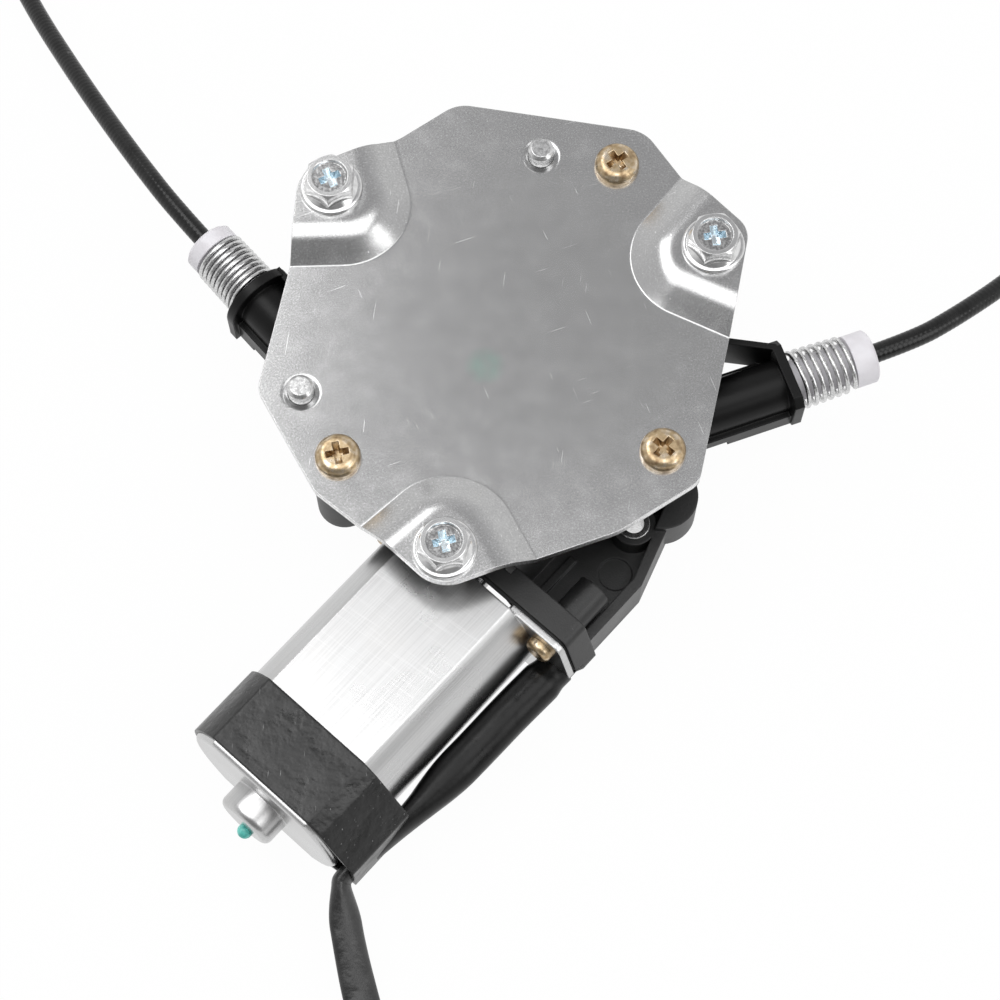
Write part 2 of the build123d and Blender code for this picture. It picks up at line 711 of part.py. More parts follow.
def outlet_point(o, s):
    """A point on an outlet's axis, as plain numbers."""
    p = outlet_plane(o, s).origin
    return (p.X, p.Y, p.Z)


left_head_end = left_outlet["face"] + left_outlet["spring"] + left_outlet["head"]
right_head_end = right_outlet["face"] + right_outlet["spring"] + right_outlet["head"]
left_route = [
    outlet_point(left_outlet, left_head_end - 7.8), outlet_point(left_outlet, left_head_end + 10.3),
    (-79.3, 50.4, 27.0), (-88.8, 65.3, 22.2), (-98.2, 81.0, 16.8), (-108.4, 98.8, 11.0),
    (-117.4, 117.0, 5.8), (-121.2, 136.2, 3.0), (-115.0, 154.4, 2.55), (-99.8, 167.2, 2.55),
    (-80.2, 169.4, 3.4), (-62.8, 161.0, 4.3),
]
right_route = [
    outlet_point(right_outlet, right_head_end - 9.2), outlet_point(right_outlet, right_head_end + 9.8),
    (107.6, 11.6, 27.0), (121.0, 22.0, 23.6), (133.6, 34.8, 18.6), (143.6, 49.8, 13.0), (150.4, 66.8, 7.8),
    (153.4, 85.2, 4.0), (150.6, 104.0, 2.6), (142.4, 121.4, 2.55), (129.0, 135.2, 3.4), (112.4, 143.4, 4.3),
]


def ferrule_set(route):
    """What ends a conduit: its ferrule, the bare cable end and the cast cable end, as three solids."""
    end = Vector(*route[-1])
    way = (end - Vector(*route[-2])).normalized()
    frame = Plane(origin=end - way * 6.0, z_dir=way)
    body = extrude(frame * Circle(3.4), amount=15.0)
    flange = extrude(frame.offset(9.0) * Circle(4.2), amount=2.0)
    ferrule = body + flange
    bore = extrude(frame.offset(-1) * Circle(conduit_r), amount=7.0)
    ferrule = ferrule - bore - extrude(frame * Circle(cable_r + fit), amount=20)
    cable = extrude(frame.offset(7.0) * Circle(cable_r), amount=22.0)
    across = Plane(origin=frame.offset(31.0).origin - Vector(0, 0, 3.2), z_dir=(0, 0, 1))
    barrel = extrude(across * Circle(3.0), amount=6.4)
    barrel -= extrude(frame.offset(25.0) * Circle(cable_r), amount=4.0)
    return ferrule, cable, barrel


def motor_can():
    """Drawn steel can with two flats, a turned flange and a bearing boss on its closed end."""
    outer = Circle(can_r) & Rectangle(3 * can_r, 2 * can_flat)
    inner = Circle(can_r - can_wall) & Rectangle(3 * can_r, 2 * (can_flat - can_wall))
    can = on_motor(outer, can_end, can_open - flange_t)
    end_edges = can.faces().sort_by_distance(motor_plane(can_end).origin)[0].edges()
    can = fillet(end_edges, 1.2)
    can += on_motor(gear_flange_outline(0), can_open - flange_t, can_open)
    boss = on_motor(Circle(boss_outer_r), can_end - boss_len, can_end + 0.5)
    boss_rim = boss.faces().sort_by_distance(motor_plane(can_end - boss_len).origin)[0].edges()
    can += fillet(boss_rim, 1.6)
    can -= on_motor(inner, can_end + can_wall, can_open + 1)
    can -= on_motor(Circle(bush_r), can_end - boss_len + 1.3, can_end + 3)
    for sign in (1, -1):
        spot = Pos(-sign * motor_screw_x, sign * motor_screw_y)
        can -= on_motor(spot * Circle(motor_screw_r + 0.2), can_open - 3, can_open + 1)
    can -= on_motor(wire_notch(), can_open - 3, can_open + 1)
    can -= disc(boss_r + 0.3, 0, plate_low, pan_spots[1])
    return can


def motor_gasket():
    """Rubber gasket between the can's flange and the gear housing."""
    sheet = gear_flange_outline(-0.6) - (Circle(17.0) & Rectangle(60, 26))
    for sign in (1, -1):
        sheet -= Pos(-sign * motor_screw_x, sign * motor_screw_y) * Circle(motor_screw_r + 0.2)
    sheet -= wire_notch()
    return on_motor(sheet, can_open, gasket_end) - disc(boss_r + 0.3, 0, plate_low, pan_spots[1])


def motor_screw_set():
    """Two screws through the can's flange into the gear housing."""
    screws = []
    for sign in (1, -1):
        spot = Pos(-sign * motor_screw_x, sign * motor_screw_y)
        seat = can_open - flange_t
        head = on_motor(spot * Circle(motor_head_r), seat - 2.4, seat)
        rim = head.faces().sort_by_distance((motor_plane(seat - 2.4) * spot).position)[0].edges()
        head = fillet(rim, 1.4)
        head += on_motor(spot * Circle(motor_screw_r - 0.2), seat - 0.5, -30.0)
        screws.append(head)
    return Compound(children=screws)


def armature_shaft():
    """Steel shaft from the boss at the closed end to the worm's tip."""
    shaft = on_motor(Circle(shaft_r), can_end - boss_len + 1.6, shaft_tip - 0.1)
    return shaft


def worm():
    """Single-start right-hand worm, pressed on the shaft."""
    root_r = worm_pitch_r - 1.25 * module
    tip = worm_pitch_r + module
    half = pi * module / 4 - backlash / 2
    slope = tan(radians(pressure)) * module
    pitch = pi * module
    turns = int(worm_half / pitch)
    length = 2 * turns * pitch
    path = Helix(pitch, length, worm_pitch_r)
    profile = [(tip - worm_pitch_r, half - slope), (tip - worm_pitch_r, slope - half)]
    inner = root_r - 0.35 - worm_pitch_r
    profile += [(inner, -half - 1.6 * slope), (inner, half + 1.6 * slope)]
    start = Plane(origin=path @ 0, x_dir=(1, 0, 0), z_dir=path % 0)
    thread = sweep(start * make_face(Polyline(profile, close=True)), path=path, is_frenet=True)
    core = Pos(0, 0, -1.5) * extrude(Circle(root_r) - Circle(shaft_r + fit), amount=length + 3.0)
    body = core + thread
    body -= Pos(0, 0, -4) * extrude(Circle(shaft_r + fit), amount=length + 8)
    return motor_plane(-turns * pitch).location * body


def slot_shape(inset):
    """One armature slot in section: a narrow mouth and a wide pocket."""
    inner, outer = 6.6 + inset, 12.2 - inset
    spread = radians(180 / core_slots)
    tooth = 1.3 + inset
    points = []
    for radius in (inner, outer):
        points.append((radius, radius * tan(spread) - tooth))
    points += [(x, -y) for x, y in reversed(points)]
    return make_face(Polyline(points, close=True))


def armature_core():
    """Stack of steel laminations with slots for the windings."""
    section = Circle(core_r) - Circle(shaft_r + fit)
    mouth = Pos(core_r - 1.0, 0) * Rectangle(3.0, 1.3)
    for k in range(core_slots):
        section -= Rot(0, 0, 360 * k / core_slots) * (slot_shape(0) + mouth)
    return on_motor(section, core_from, core_to)


def armature_windings():
    """Copper coils: bars in the slots, joined by an overhang at each end of the core."""
    bars = []
    for k in range(core_slots):
        bar = Rot(0, 0, 360 * k / core_slots) * slot_shape(0.12)
        bars.append(on_motor(bar, core_from - 1.0, core_to + 1.0))
    ring = Circle(12.0) - Circle(4.2)
    coils = on_motor(ring, core_from - winding_over, core_from - 0.15)
    coils += on_motor(ring, core_to + 0.15, core_to + winding_over)
    for bar in bars:
        coils += bar
    return coils


def commutator():
    """Copper segments round the shaft, with slits between them."""
    section = Circle(commutator_r) - Circle(shaft_r + fit)
    for k in range(core_slots):
        section -= Rot(0, 0, 360 * k / core_slots) * Pos(commutator_r, 0) * Rectangle(2.0, 0.5)
    body = on_motor(section, commutator_from, commutator_to)
    riser = Circle(commutator_r + 1.0) - Circle(shaft_r + fit)
    return body + on_motor(riser, commutator_from - 1.5, commutator_from)


def magnet_set():
    """Two ferrite segments against the can's round sides."""
    outer = can_r - can_wall - fit
    inner = core_r + 0.7
    magnets = []
    for turn in (0, 180):
        ring = Circle(outer) - Circle(inner)
        reach, half = 40.0, 40.0 * tan(radians(44))
        wedge = make_face(Polyline([(0, 0), (reach, half), (reach, -half)], close=True))
        magnets.append(on_motor(Rot(0, 0, turn) * (ring & wedge), magnet_from, magnet_to))
    return Compound(children=magnets)


def magnet_clip_set():
    """Two spring strips that press the magnets apart."""
    clips = []
    for side in (1, -1):
        y = side * (can_flat - can_wall - 0.25)
        strip = Pos(0, y) * Rectangle(16.0, 0.5)
        clips.append(on_motor(strip, magnet_from + 6, magnet_to - 6))
    return Compound(children=clips)


def brush_card():
    """Moulded card in the can's mouth with two brush boxes."""
    mouth = Circle(can_r - can_wall - 0.1) & Rectangle(60, 2 * (can_flat - can_wall) - 0.2)
    card = on_motor(mouth - Circle(9.0), can_open - 3.4, can_open - 1.2)
    for turn in (0, 180):
        box = Pos(can_r - 7.3, 0) * (Rectangle(9.4, 7.4) - Pos(-0.8, 0) * Rectangle(9.4, 5.2))
        card += on_motor(Rot(0, 0, turn) * box, can_open - 11.0, can_open - 3.0)
    return card


def brush_set():
    """Two carbon brushes on the commutator."""
    brushes = []
    for turn in (0, 180):
        block = Pos(commutator_r + 4.0 + 0.1, 0) * Rectangle(8.0, 5.0)
        brushes.append(on_motor(Rot(0, 0, turn) * block, can_open - 10.0, can_open - 5.0))
    return Compound(children=brushes)


def brush_spring_set():
    """Two flat springs behind the brushes."""
    springs = []
    for turn in (0, 180):
        arm = Pos(can_r - 4.65, 0) * (Circle(1.2) - Circle(0.85) - Pos(0, 1.2) * Rectangle(0.8, 1.0))
        springs.append(on_motor(Rot(0, 0, turn) * arm, can_open - 9.0, can_open - 6.0))
    return Compound(children=springs)


def rear_bearing():
    """Sintered bush in the can's boss."""
    ring = Circle(bush_r - fit) - Circle(shaft_r + fit)
    return on_motor(ring, can_end - boss_len + 1.5, can_end + 2.5)


def front_bearing_set():
    """Sintered bushes at both ends of the worm."""
    middle = on_motor(Circle(bush_r + 1.0 - fit) - Circle(shaft_r + fit), -23.0, -16.2)
    tip = on_motor(Circle(bush_r - fit) - Circle(shaft_r + fit), 13.6, shaft_tip)
    return Compound(children=[middle, tip])


def thrust_ball():
    """Steel ball that takes the shaft's thrust at the worm's tip."""
    return motor_plane(shaft_tip + ball_r).location * Sphere(ball_r - fit)


def band_outline(grow):
    """The can's section with a bulge on the side where the wiring passes."""
    top = sqrt(can_r**2 - can_flat**2)
    out = can_r + band_bulge
    points = [(top, can_flat), (-top, can_flat), (-top - 3.0, can_flat - 2.2), (-out, 3.0), (-out, -7.0)]
    path = Polyline(points + [(-top, -can_flat), (top, -can_flat)])
    path += ThreePointArc((top, -can_flat), (can_r, 0), (top, can_flat))
    face = make_face(path)
    return offset(face, amount=grow) if grow else face


def motor_end_band():
    """Black band round the can's closed end, over the wiring."""
    section = band_outline(band_t) - band_outline(0.02)
    return on_motor(section, band_from, band_to)


def sealing_dot():
    """Drop of sealing paint on the bearing boss."""
    place = motor_plane(can_end - boss_len)
    return place.location * Pos(-1.0, -1.6, -0.55) * Sphere(1.7) - on_motor(
        Circle(boss_outer_r), can_end - boss_len, can_end
    )


def harness_grommet():
    """Rubber collar where the wiring leaves the flange."""
    spot = Pos(wire_x, wire_y)
    neck = on_motor(spot * Circle(sleeve_tube_r + 0.2 - fit), wire_from, gasket_end + 2.0 - fit)
    collar = on_motor(spot * Circle(sleeve_tube_r + 0.9), wire_from, can_open - flange_t - fit)
    return neck + collar


wire_from = can_open - flange_t - 2.6
wire_steps = [
    (wire_x, wire_y, wire_from - fit), (wire_x, wire_y, wire_from - 10.0),
    (wire_x + 0.4, wire_y - 0.4, wire_from - 21.0),
    (wire_x + 1.1, wire_y - 0.9, wire_from - 32.5), (wire_x + 1.5, wire_y - 1.4, band_to + 0.4),
]


def motor_point(x, y, s):
    """A point given across and along the motor's axis, as plain numbers."""
    p = motor_plane(s).from_local_coords(Vector(x, y, 0))
    return (p.X, p.Y, p.Z)


wiring_route = [motor_point(*step) for step in wire_steps]
tail_route = [
    (-30.1, -115.3, 10.4), (-29.2, -121.8, 8.7), (-27.6, -130.0, 6.6), (-25.3, -139.4, 4.8),
    (-22.4, -149.2, 4.0),
    (-19.0, -158.8, 4.0),
]


def harness_flat():
    """The wiring sleeve where the band presses it flat against the can."""
    pocket = band_outline(0) - Circle(can_r + 0.1)
    strip = Pos(-can_r - band_bulge / 2, -5.2) * Rectangle(band_bulge + 2, 8.4)
    flat = on_motor(pocket & strip, band_from - 8.0, band_to)
    start = Vector(*tail_route[0])
    beyond = Plane(origin=start, z_dir=Vector(*tail_route[1]) - start) * Rectangle(60, 60)
    return flat - extrude(beyond, amount=30)


def harness_connector():
    """Two-way plug on the end of the wiring, with a latch and two terminal ways."""
    end = Vector(*tail_route[-1])
    way = end - Vector(*tail_route[-2])
    way = Vector(way.X, way.Y, 0).normalized()
    frame = Plane(origin=end, x_dir=way.cross(Vector(0, 0, 1)), z_dir=way)
    body = extrude(frame * Rectangle(12.0, 7.6), amount=20.0)
    body = fillet(body.edges().filter_by(lambda e: abs((e % 0.5).dot(way)) > 0.99), 0.8)
    collar = extrude(frame.offset(13.0) * Pos(0, -0.2) * Rectangle(13.6, 7.6), amount=2.0)
    lift = 1 if frame.y_dir.Z > 0 else -1
    latch = extrude(frame.offset(4.0) * Pos(0, lift * 4.6) * Rectangle(4.0, 1.2), amount=12.0)
    foot = extrude(frame.offset(4.0) * Pos(0, lift * 4.0) * Rectangle(4.0, 2.0), amount=2.0)
    catch = extrude(frame.offset(14.0) * Pos(0, lift * 4.0) * Rectangle(4.0, 2.0), amount=2.0)
    plug = body + collar + latch + foot + catch
    for x in (-2.8, 2.8):
        plug -= extrude(frame.offset(6.0) * Pos(x, 0) * Rectangle(3.2, 3.2), amount=16.0)
    return plug, frame


def harness_terminals():
    """Two crimped terminals inside the plug."""
    _, frame = harness_connector()
    pins = []
    for x in (-2.8, 2.8):
        section = Pos(x, 0) * (Rectangle(2.9, 2.9) - Rectangle(1.9, 1.3))
        pins.append(extrude(frame.offset(6.2) * section, amount=12.0))
    return Compound(children=pins)


def write(name, shape):
    """One STEP file for each sub-part."""
    export_step(shape, f"parts/{name}.step")


os.makedirs("parts", exist_ok=True)
write("mounting_plate", mounting_plate())
write("ear_bolts", ear_bolt_set())
write("clinch_nuts", clinch_nut_set())
write("pan_screws", pan_screw_set())
write("locating_pins", locating_pin_set())
write("drum_housing", drum_housing())
write("gear_housing", gear_housing())
write("housing_bush", housing_bush())
write("gear_cover", gear_cover())
write("wheel_post", wheel_post())
write("thrust_washer", thrust_washer())
write("worm_wheel", worm_wheel())
write("damper", damper())
write("drive_plate", drive_plate())
write("cable_drum", cable_drum())
write("cable_wraps", cable_wraps())
write("drum_nipples", drum_nipples())
write("motor_can", motor_can())
write("motor_gasket", motor_gasket())
write("motor_screws", motor_screw_set())
write("armature_shaft", armature_shaft())
write("worm", worm())
write("armature_core", armature_core())
write("armature_windings", armature_windings())
write("commutator", commutator())
write("magnets", magnet_set())
write("magnet_clips", magnet_clip_set())
write("brush_card", brush_card())
write("brushes", brush_set())
write("brush_springs", brush_spring_set())
write("rear_bearing", rear_bearing())
write("front_bearings", front_bearing_set())
write("thrust_ball", thrust_ball())
write("motor_end_band", motor_end_band())
write("sealing_dot", sealing_dot())
write("harness_grommet", harness_grommet())
write("harness_flat", harness_flat())
write("harness_connector", harness_connector()[0])
write("harness_terminals", harness_terminals())
write("harness_sleeve", cord_tube(wiring_route, sleeve_tube_r, "harness_sleeve")[0])
write("harness_tail", cord_tube(tail_route, tail_r, "harness_tail")[0])
for side, outlet, route, height in (
    ("left", left_outlet, left_route, left_height),
    ("right", right_outlet, right_route, right_height),
):
    write(f"{side}_sleeve", end_sleeve(outlet))
    write(f"{side}_spring", sleeve_spring(outlet))
    write(f"{side}_inner_cable", inner_cable(outlet, height))
    write(f"{side}_conduit", cord_tube(route, conduit_r, f"{side}_conduit")[0])
    ferrule, bare_end, cast_end = ferrule_set(route)
    write(f"{side}_ferrule", ferrule)
    write(f"{side}_end_cable", bare_end)
    write(f"{side}_cable_end", cast_end)
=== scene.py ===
from math import atan2, cos, pi, radians, sin, sqrt, tan

import bmesh
import bpy
from mathutils import Matrix, Vector
from mathutils.geometry import delaunay_2d_cdt


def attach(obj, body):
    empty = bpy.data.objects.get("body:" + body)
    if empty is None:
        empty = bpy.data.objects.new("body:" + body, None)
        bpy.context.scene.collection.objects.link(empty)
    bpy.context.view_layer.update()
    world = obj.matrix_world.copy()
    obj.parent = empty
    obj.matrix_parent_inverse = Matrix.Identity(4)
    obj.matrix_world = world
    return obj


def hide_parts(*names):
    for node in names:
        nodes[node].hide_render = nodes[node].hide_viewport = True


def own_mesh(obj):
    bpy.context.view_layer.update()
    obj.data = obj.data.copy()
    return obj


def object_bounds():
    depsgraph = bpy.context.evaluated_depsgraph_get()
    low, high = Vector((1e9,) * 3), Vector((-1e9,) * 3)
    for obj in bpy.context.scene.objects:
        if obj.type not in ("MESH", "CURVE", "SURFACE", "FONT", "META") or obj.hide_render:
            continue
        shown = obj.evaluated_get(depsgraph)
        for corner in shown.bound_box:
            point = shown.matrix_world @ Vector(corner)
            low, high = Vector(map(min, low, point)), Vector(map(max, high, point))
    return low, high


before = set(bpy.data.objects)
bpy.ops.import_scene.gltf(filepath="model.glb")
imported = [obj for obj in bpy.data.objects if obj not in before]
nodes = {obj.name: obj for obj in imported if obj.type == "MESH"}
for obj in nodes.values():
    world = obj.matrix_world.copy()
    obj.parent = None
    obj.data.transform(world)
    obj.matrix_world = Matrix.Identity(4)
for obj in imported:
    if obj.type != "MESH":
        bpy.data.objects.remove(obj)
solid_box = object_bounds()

# ---------------------------------------------------------------- armature
# The armature is a stack of electrical-steel sheets pressed on a ground shaft, wound with
# enamelled copper wire whose ends are hooked on the commutator's copper bars. The worm is
# rolled on the free end of the same shaft, so it keeps the bright bands of the rolling dies.


def grey(value):
    """A neutral as a screen shows it, 0 to 255, turned into the shader's own measure."""
    return colour(value, value, value)


def colour(r, g, b):
    """The same for a colour."""
    return tuple(
        v / 255 / 12.92 if v < 10.3 else ((v / 255 + 0.055) / 1.055) ** 2.4 for v in (r, g, b))


def finish(name, base, metallic=0.0, roughness=0.5, gloss=0.5):
    """A new material with one plain shader, which the steps below vary."""
    m = bpy.data.materials.new(name)
    m.use_nodes = True
    shader = m.node_tree.nodes["Principled BSDF"]
    shader.inputs["Base Color"].default_value = (*base, 1)
    shader.inputs["Metallic"].default_value = metallic
    shader.inputs["Roughness"].default_value = roughness
    shader.inputs["Specular IOR Level"].default_value = gloss
    return m


def cloud(m, size, stretch=(1, 1, 1), turn=0.0, detail=4.0):
    """Soft noise with features of about this size in metres, stretched after a turn about z."""
    t = m.node_tree
    where = t.nodes.new("ShaderNodeTexCoord")
    turned = t.nodes.new("ShaderNodeMapping")
    turned.inputs["Rotation"].default_value = (0, 0, -turn)
    scaled = t.nodes.new("ShaderNodeMapping")
    scaled.inputs["Scale"].default_value = [1 / (size * s) for s in stretch]
    noise = t.nodes.new("ShaderNodeTexNoise")
    noise.inputs["Scale"].default_value = 1.0
    noise.inputs["Detail"].default_value = detail
    t.links.new(where.outputs["Object"], turned.inputs["Vector"])
    t.links.new(turned.outputs["Vector"], scaled.inputs["Vector"])
    t.links.new(scaled.outputs["Vector"], noise.inputs["Vector"])
    return noise.outputs["Fac"]


def paint(m, factor, stops):
    """Colours along a factor, given as (place, colour)."""
    t = m.node_tree
    ramp = t.nodes.new("ShaderNodeValToRGB")
    band = ramp.color_ramp
    band.elements[0].position, band.elements[0].color = stops[0][0], (*stops[0][1], 1)
    band.elements[1].position, band.elements[1].color = stops[-1][0], (*stops[-1][1], 1)
    for place, tone in stops[1:-1]:
        band.elements.new(place).color = (*tone, 1)
    t.links.new(factor, ramp.inputs["Fac"])
    return ramp.outputs["Color"]


def over(m, below, above, mask):
    """One colour laid over another where the mask is high."""
    t = m.node_tree
    mix = t.nodes.new("ShaderNodeMix")
    mix.data_type = "RGBA"
    t.links.new(mask, mix.inputs[0])
    for socket, value in ((mix.inputs[6], below), (mix.inputs[7], above)):
        if isinstance(value, tuple):
            socket.default_value = (*value, 1)
        else:
            t.links.new(value, socket)
    return mix.outputs[2]


def spread(m, factor, start, end, low, high):
    """A factor between start and end becomes a number between low and high."""
    t = m.node_tree
    span = t.nodes.new("ShaderNodeMapRange")
    for name, value in (("From Min", start), ("From Max", end), ("To Min", low), ("To Max", high)):
        span.inputs[name].default_value = value
    t.links.new(factor, span.inputs["Value"])
    return span.outputs["Result"]


def math_node(tree, operation, *values):
    """One step of arithmetic on numbers or on other nodes' results."""
    node = tree.nodes.new("ShaderNodeMath")
    node.operation = operation
    for socket, value in zip(node.inputs, values):
        if isinstance(value, (int, float)):
            socket.default_value = value
        else:
            tree.links.new(value, socket)
    return node.outputs[0]


def both_masks(m, one, other):
    """A mask that is high only where both masks are."""
    return math_node(m.node_tree, "MULTIPLY", one, other)


def into(m, output, socket):
    """A result steers one socket of the finish."""
    m.node_tree.links.new(output, m.node_tree.nodes["Principled BSDF"].inputs[socket])


def tint(m, factor, stops):
    """The finish's colour follows a factor."""
    into(m, paint(m, factor, stops), "Base Color")


def dull(m, factor, start, end, low, high):
    """The finish's roughness follows a factor."""
    into(m, spread(m, factor, start, end, low, high), "Roughness")


def soften(m, radius):
    """Edges catch light as if they had this small radius."""
    t = m.node_tree
    bevel = t.nodes.new("ShaderNodeBevel")
    bevel.samples = 6
    bevel.inputs["Radius"].default_value = radius
    into(m, bevel.outputs["Normal"], "Normal")


def relief(m, height, depth):
    """Small unevenness, in metres, over whatever relief the material already has."""
    t = m.node_tree
    socket = t.nodes["Principled BSDF"].inputs["Normal"]
    bump = t.nodes.new("ShaderNodeBump")
    bump.inputs["Strength"].default_value = 1.0
    bump.inputs["Distance"].default_value = depth
    t.links.new(height, bump.inputs["Height"])
    if socket.links:
        t.links.new(socket.links[0].from_socket, bump.inputs["Normal"])
    into(m, bump.outputs["Normal"], "Normal")


def dress(m, *names):
    """The finish goes on these pieces."""
    for name in names:
        for slot in nodes[name].material_slots:
            slot.material = m


def about(m, centre, axis):
    """Position measured from a centre: along an axis, and the distance from that axis."""
    t = m.node_tree
    where = t.nodes.new("ShaderNodeTexCoord")
    off = t.nodes.new("ShaderNodeVectorMath")
    off.operation = "SUBTRACT"
    off.inputs[1].default_value = centre
    dot = t.nodes.new("ShaderNodeVectorMath")
    dot.operation = "DOT_PRODUCT"
    dot.inputs[1].default_value = axis
    cross = t.nodes.new("ShaderNodeVectorMath")
    cross.operation = "CROSS_PRODUCT"
    cross.inputs[1].default_value = axis
    length = t.nodes.new("ShaderNodeVectorMath")
    length.operation = "LENGTH"
    t.links.new(where.outputs["Object"], off.inputs[0])
    t.links.new(off.outputs[0], dot.inputs[0])
    t.links.new(off.outputs[0], cross.inputs[0])
    t.links.new(cross.outputs[0], length.inputs[0])
    return dot.outputs["Value"], length.outputs["Value"]


def wave(m, value, pitch):
    """A number that rises from 0 to 1 and falls again once in every pitch."""
    angle = math_node(m.node_tree, "MULTIPLY", value, 2 * pi / pitch)
    return spread(m, math_node(m.node_tree, "SINE", angle), -1, 1, 0, 1)


# The motor's axis, in mm from the drum's axis and over the table.
motor_offset, motor_height = 31.0, 16.5
motor_turn = radians(48)
motor_axis = Vector((cos(motor_turn), sin(motor_turn), 0))
motor_side = Vector((-sin(motor_turn), cos(motor_turn), 0))


def motor_point(x, y, s):
    """Metres from millimetres: x towards the drum, y up, s along the motor's axis."""
    over_table = Vector((0, 0, motor_height + y))
    return (motor_axis * s + motor_side * (x - motor_offset) + over_table) / 1000


ground_steel = finish("ground_shaft_steel", grey(190), 1.0, 0.25)
soften(ground_steel, 0.0002)
dull(ground_steel, cloud(ground_steel, 0.0004), 0.3, 0.7, 0.18, 0.34)
dress(ground_steel, "armature_shaft", "thrust_ball")

rolled_worm = finish("rolled_worm_steel", grey(170), 1.0, 0.3)
greasy = cloud(rolled_worm, 0.003, detail=3)
tint(rolled_worm, greasy, [(0.35, colour(120, 104, 74)), (0.6, grey(186))])
dull(rolled_worm, greasy, 0.3, 0.7, 0.22, 0.42)
dress(rolled_worm, "worm")

sheet_stack = finish("electrical_steel_stack", grey(96), 1.0, 0.5)
along, _ = about(sheet_stack, motor_point(0, 0, 0), motor_axis)
sheets = wave(sheet_stack, along, 0.0005)
tint(sheet_stack, sheets, [(0.2, grey(60)), (0.8, grey(120))])
relief(sheet_stack, sheets, 0.00006)
dress(sheet_stack, "armature_core")

enamelled_copper = finish("enamelled_copper_wire", colour(168, 84, 40), 0.9, 0.3)
strands = cloud(enamelled_copper, 0.0006, (8, 1, 1), motor_turn, 2)
tint(enamelled_copper, strands, [(0.35, colour(96, 38, 16)), (0.62, colour(196, 110, 58))])
relief(enamelled_copper, strands, 0.0003)
dress(enamelled_copper, "armature_windings")

turned_copper = finish("turned_copper", colour(200, 126, 84), 1.0, 0.3)
along, _ = about(turned_copper, motor_point(0, 0, 0), motor_axis)
track = wave(turned_copper, along, 0.0006)
tint(turned_copper, track, [(0.1, colour(150, 84, 54)), (0.9, colour(214, 140, 96))])
relief(turned_copper, track, 0.00002)
dress(turned_copper, "commutator", "harness_terminals")

# ---------------------------------------------------------------- brushes and bearings
# The brush card is a brown phenolic moulding with two carbon brushes that coil springs push
# on the commutator. The bushes are pressed from bronze powder and soaked in oil, so they are
# dull and speckled. The springs and the magnets' clips are bright drawn wire.

phenolic = finish("phenolic_card", colour(92, 66, 44), 0.0, 0.55)
flour = cloud(phenolic, 0.0012)
tint(phenolic, flour, [(0.35, colour(74, 50, 32)), (0.65, colour(108, 80, 56))])
soften(phenolic, 0.0003)
relief(phenolic, flour, 0.00005)
dress(phenolic, "brush_card")

carbon = finish("carbon_brush", grey(44), 0.2, 0.5)
tint(carbon, cloud(carbon, 0.0003), [(0.3, grey(30)), (0.7, grey(64))])
soften(carbon, 0.0002)
dress(carbon, "brushes")

spring_wire = finish("bright_spring_wire", grey(214), 1.0, 0.2)
drawn = cloud(spring_wire, 0.0005, detail=3)
tint(spring_wire, drawn, [(0.3, grey(176)), (0.7, grey(232))])
dull(spring_wire, drawn, 0.3, 0.7, 0.14, 0.3)
dress(spring_wire, "brush_springs", "magnet_clips")

sintered = finish("oil_soaked_bronze", colour(140, 112, 72), 0.8, 0.55)
pores = cloud(sintered, 0.0003, detail=6)
tint(sintered, pores, [(0.35, colour(84, 62, 36)), (0.65, colour(158, 126, 82))])
relief(sintered, pores, 0.00005)
dress(sintered, "front_bearings", "rear_bearing")

# ---------------------------------------------------------------- magnets and can
# Two ferrite arcs, dark and slightly crystalline, are held by spring clips in a drawn steel
# can. The can is bright plated. Fine crossed scratches of handling run over it, and dust and
# drying marks dull it in places.

ferrite = finish("ferrite_magnet", grey(48), 0.1, 0.6)
crystal = cloud(ferrite, 0.0008, detail=6)
tint(ferrite, crystal, [(0.3, grey(36)), (0.7, grey(66))])
relief(ferrite, crystal, 0.00008)
soften(ferrite, 0.0004)
dress(ferrite, "magnets")

plated_can = finish("plated_can_steel", grey(222), 1.0, 0.24)
lengthwise = cloud(plated_can, 0.00035, (60, 1, 1), motor_turn, 3)
crosswise = cloud(plated_can, 0.0003, (1, 40, 1), motor_turn + 0.12, 3)
stains = cloud(plated_can, 0.014, detail=5)
base = paint(plated_can, lengthwise, [(0.34, grey(188)), (0.5, grey(196)), (0.7, grey(202))])
base = over(plated_can, base, grey(212), spread(plated_can, crosswise, 0.56, 0.72, 0, 0.5))
base = over(plated_can, base, colour(190, 188, 186), spread(plated_can, stains, 0.5, 0.75, 0, 0.3))
into(plated_can, base, "Base Color")
dull(plated_can, stains, 0.35, 0.7, 0.27, 0.31)
soften(plated_can, 0.0006)
relief(plated_can, lengthwise, 0.000004)
relief(plated_can, cloud(plated_can, 0.03, detail=1), 0.0001)
dress(plated_can, "motor_can")

# The black band round the can's end is soft vinyl that was stretched on over the wiring. It
# bulges over the sleeve, its cut edges are ragged, and handling has dented and scuffed it.

black_vinyl = finish("stretched_black_vinyl", grey(20), 0.0, 0.46)
dents = cloud(black_vinyl, 0.006, detail=3)
scuffs = cloud(black_vinyl, 0.0005, (9, 1, 1), motor_turn + 0.7, 3)
base = paint(black_vinyl, dents, [(0.3, grey(10)), (0.7, grey(18))])
base = over(black_vinyl, base, grey(150), spread(black_vinyl, scuffs, 0.68, 0.78, 0, 0.8))
into(black_vinyl, base, "Base Color")
dull(black_vinyl, dents, 0.3, 0.7, 0.24, 0.38)
soften(black_vinyl, 0.0008)
relief(black_vinyl, dents, 0.0005)
relief(black_vinyl, cloud(black_vinyl, 0.0012), 0.00006)
dress(black_vinyl, "motor_end_band")

# A drop of teal sealing paint secures the bearing boss. It dried in a rounded, faceted blob.

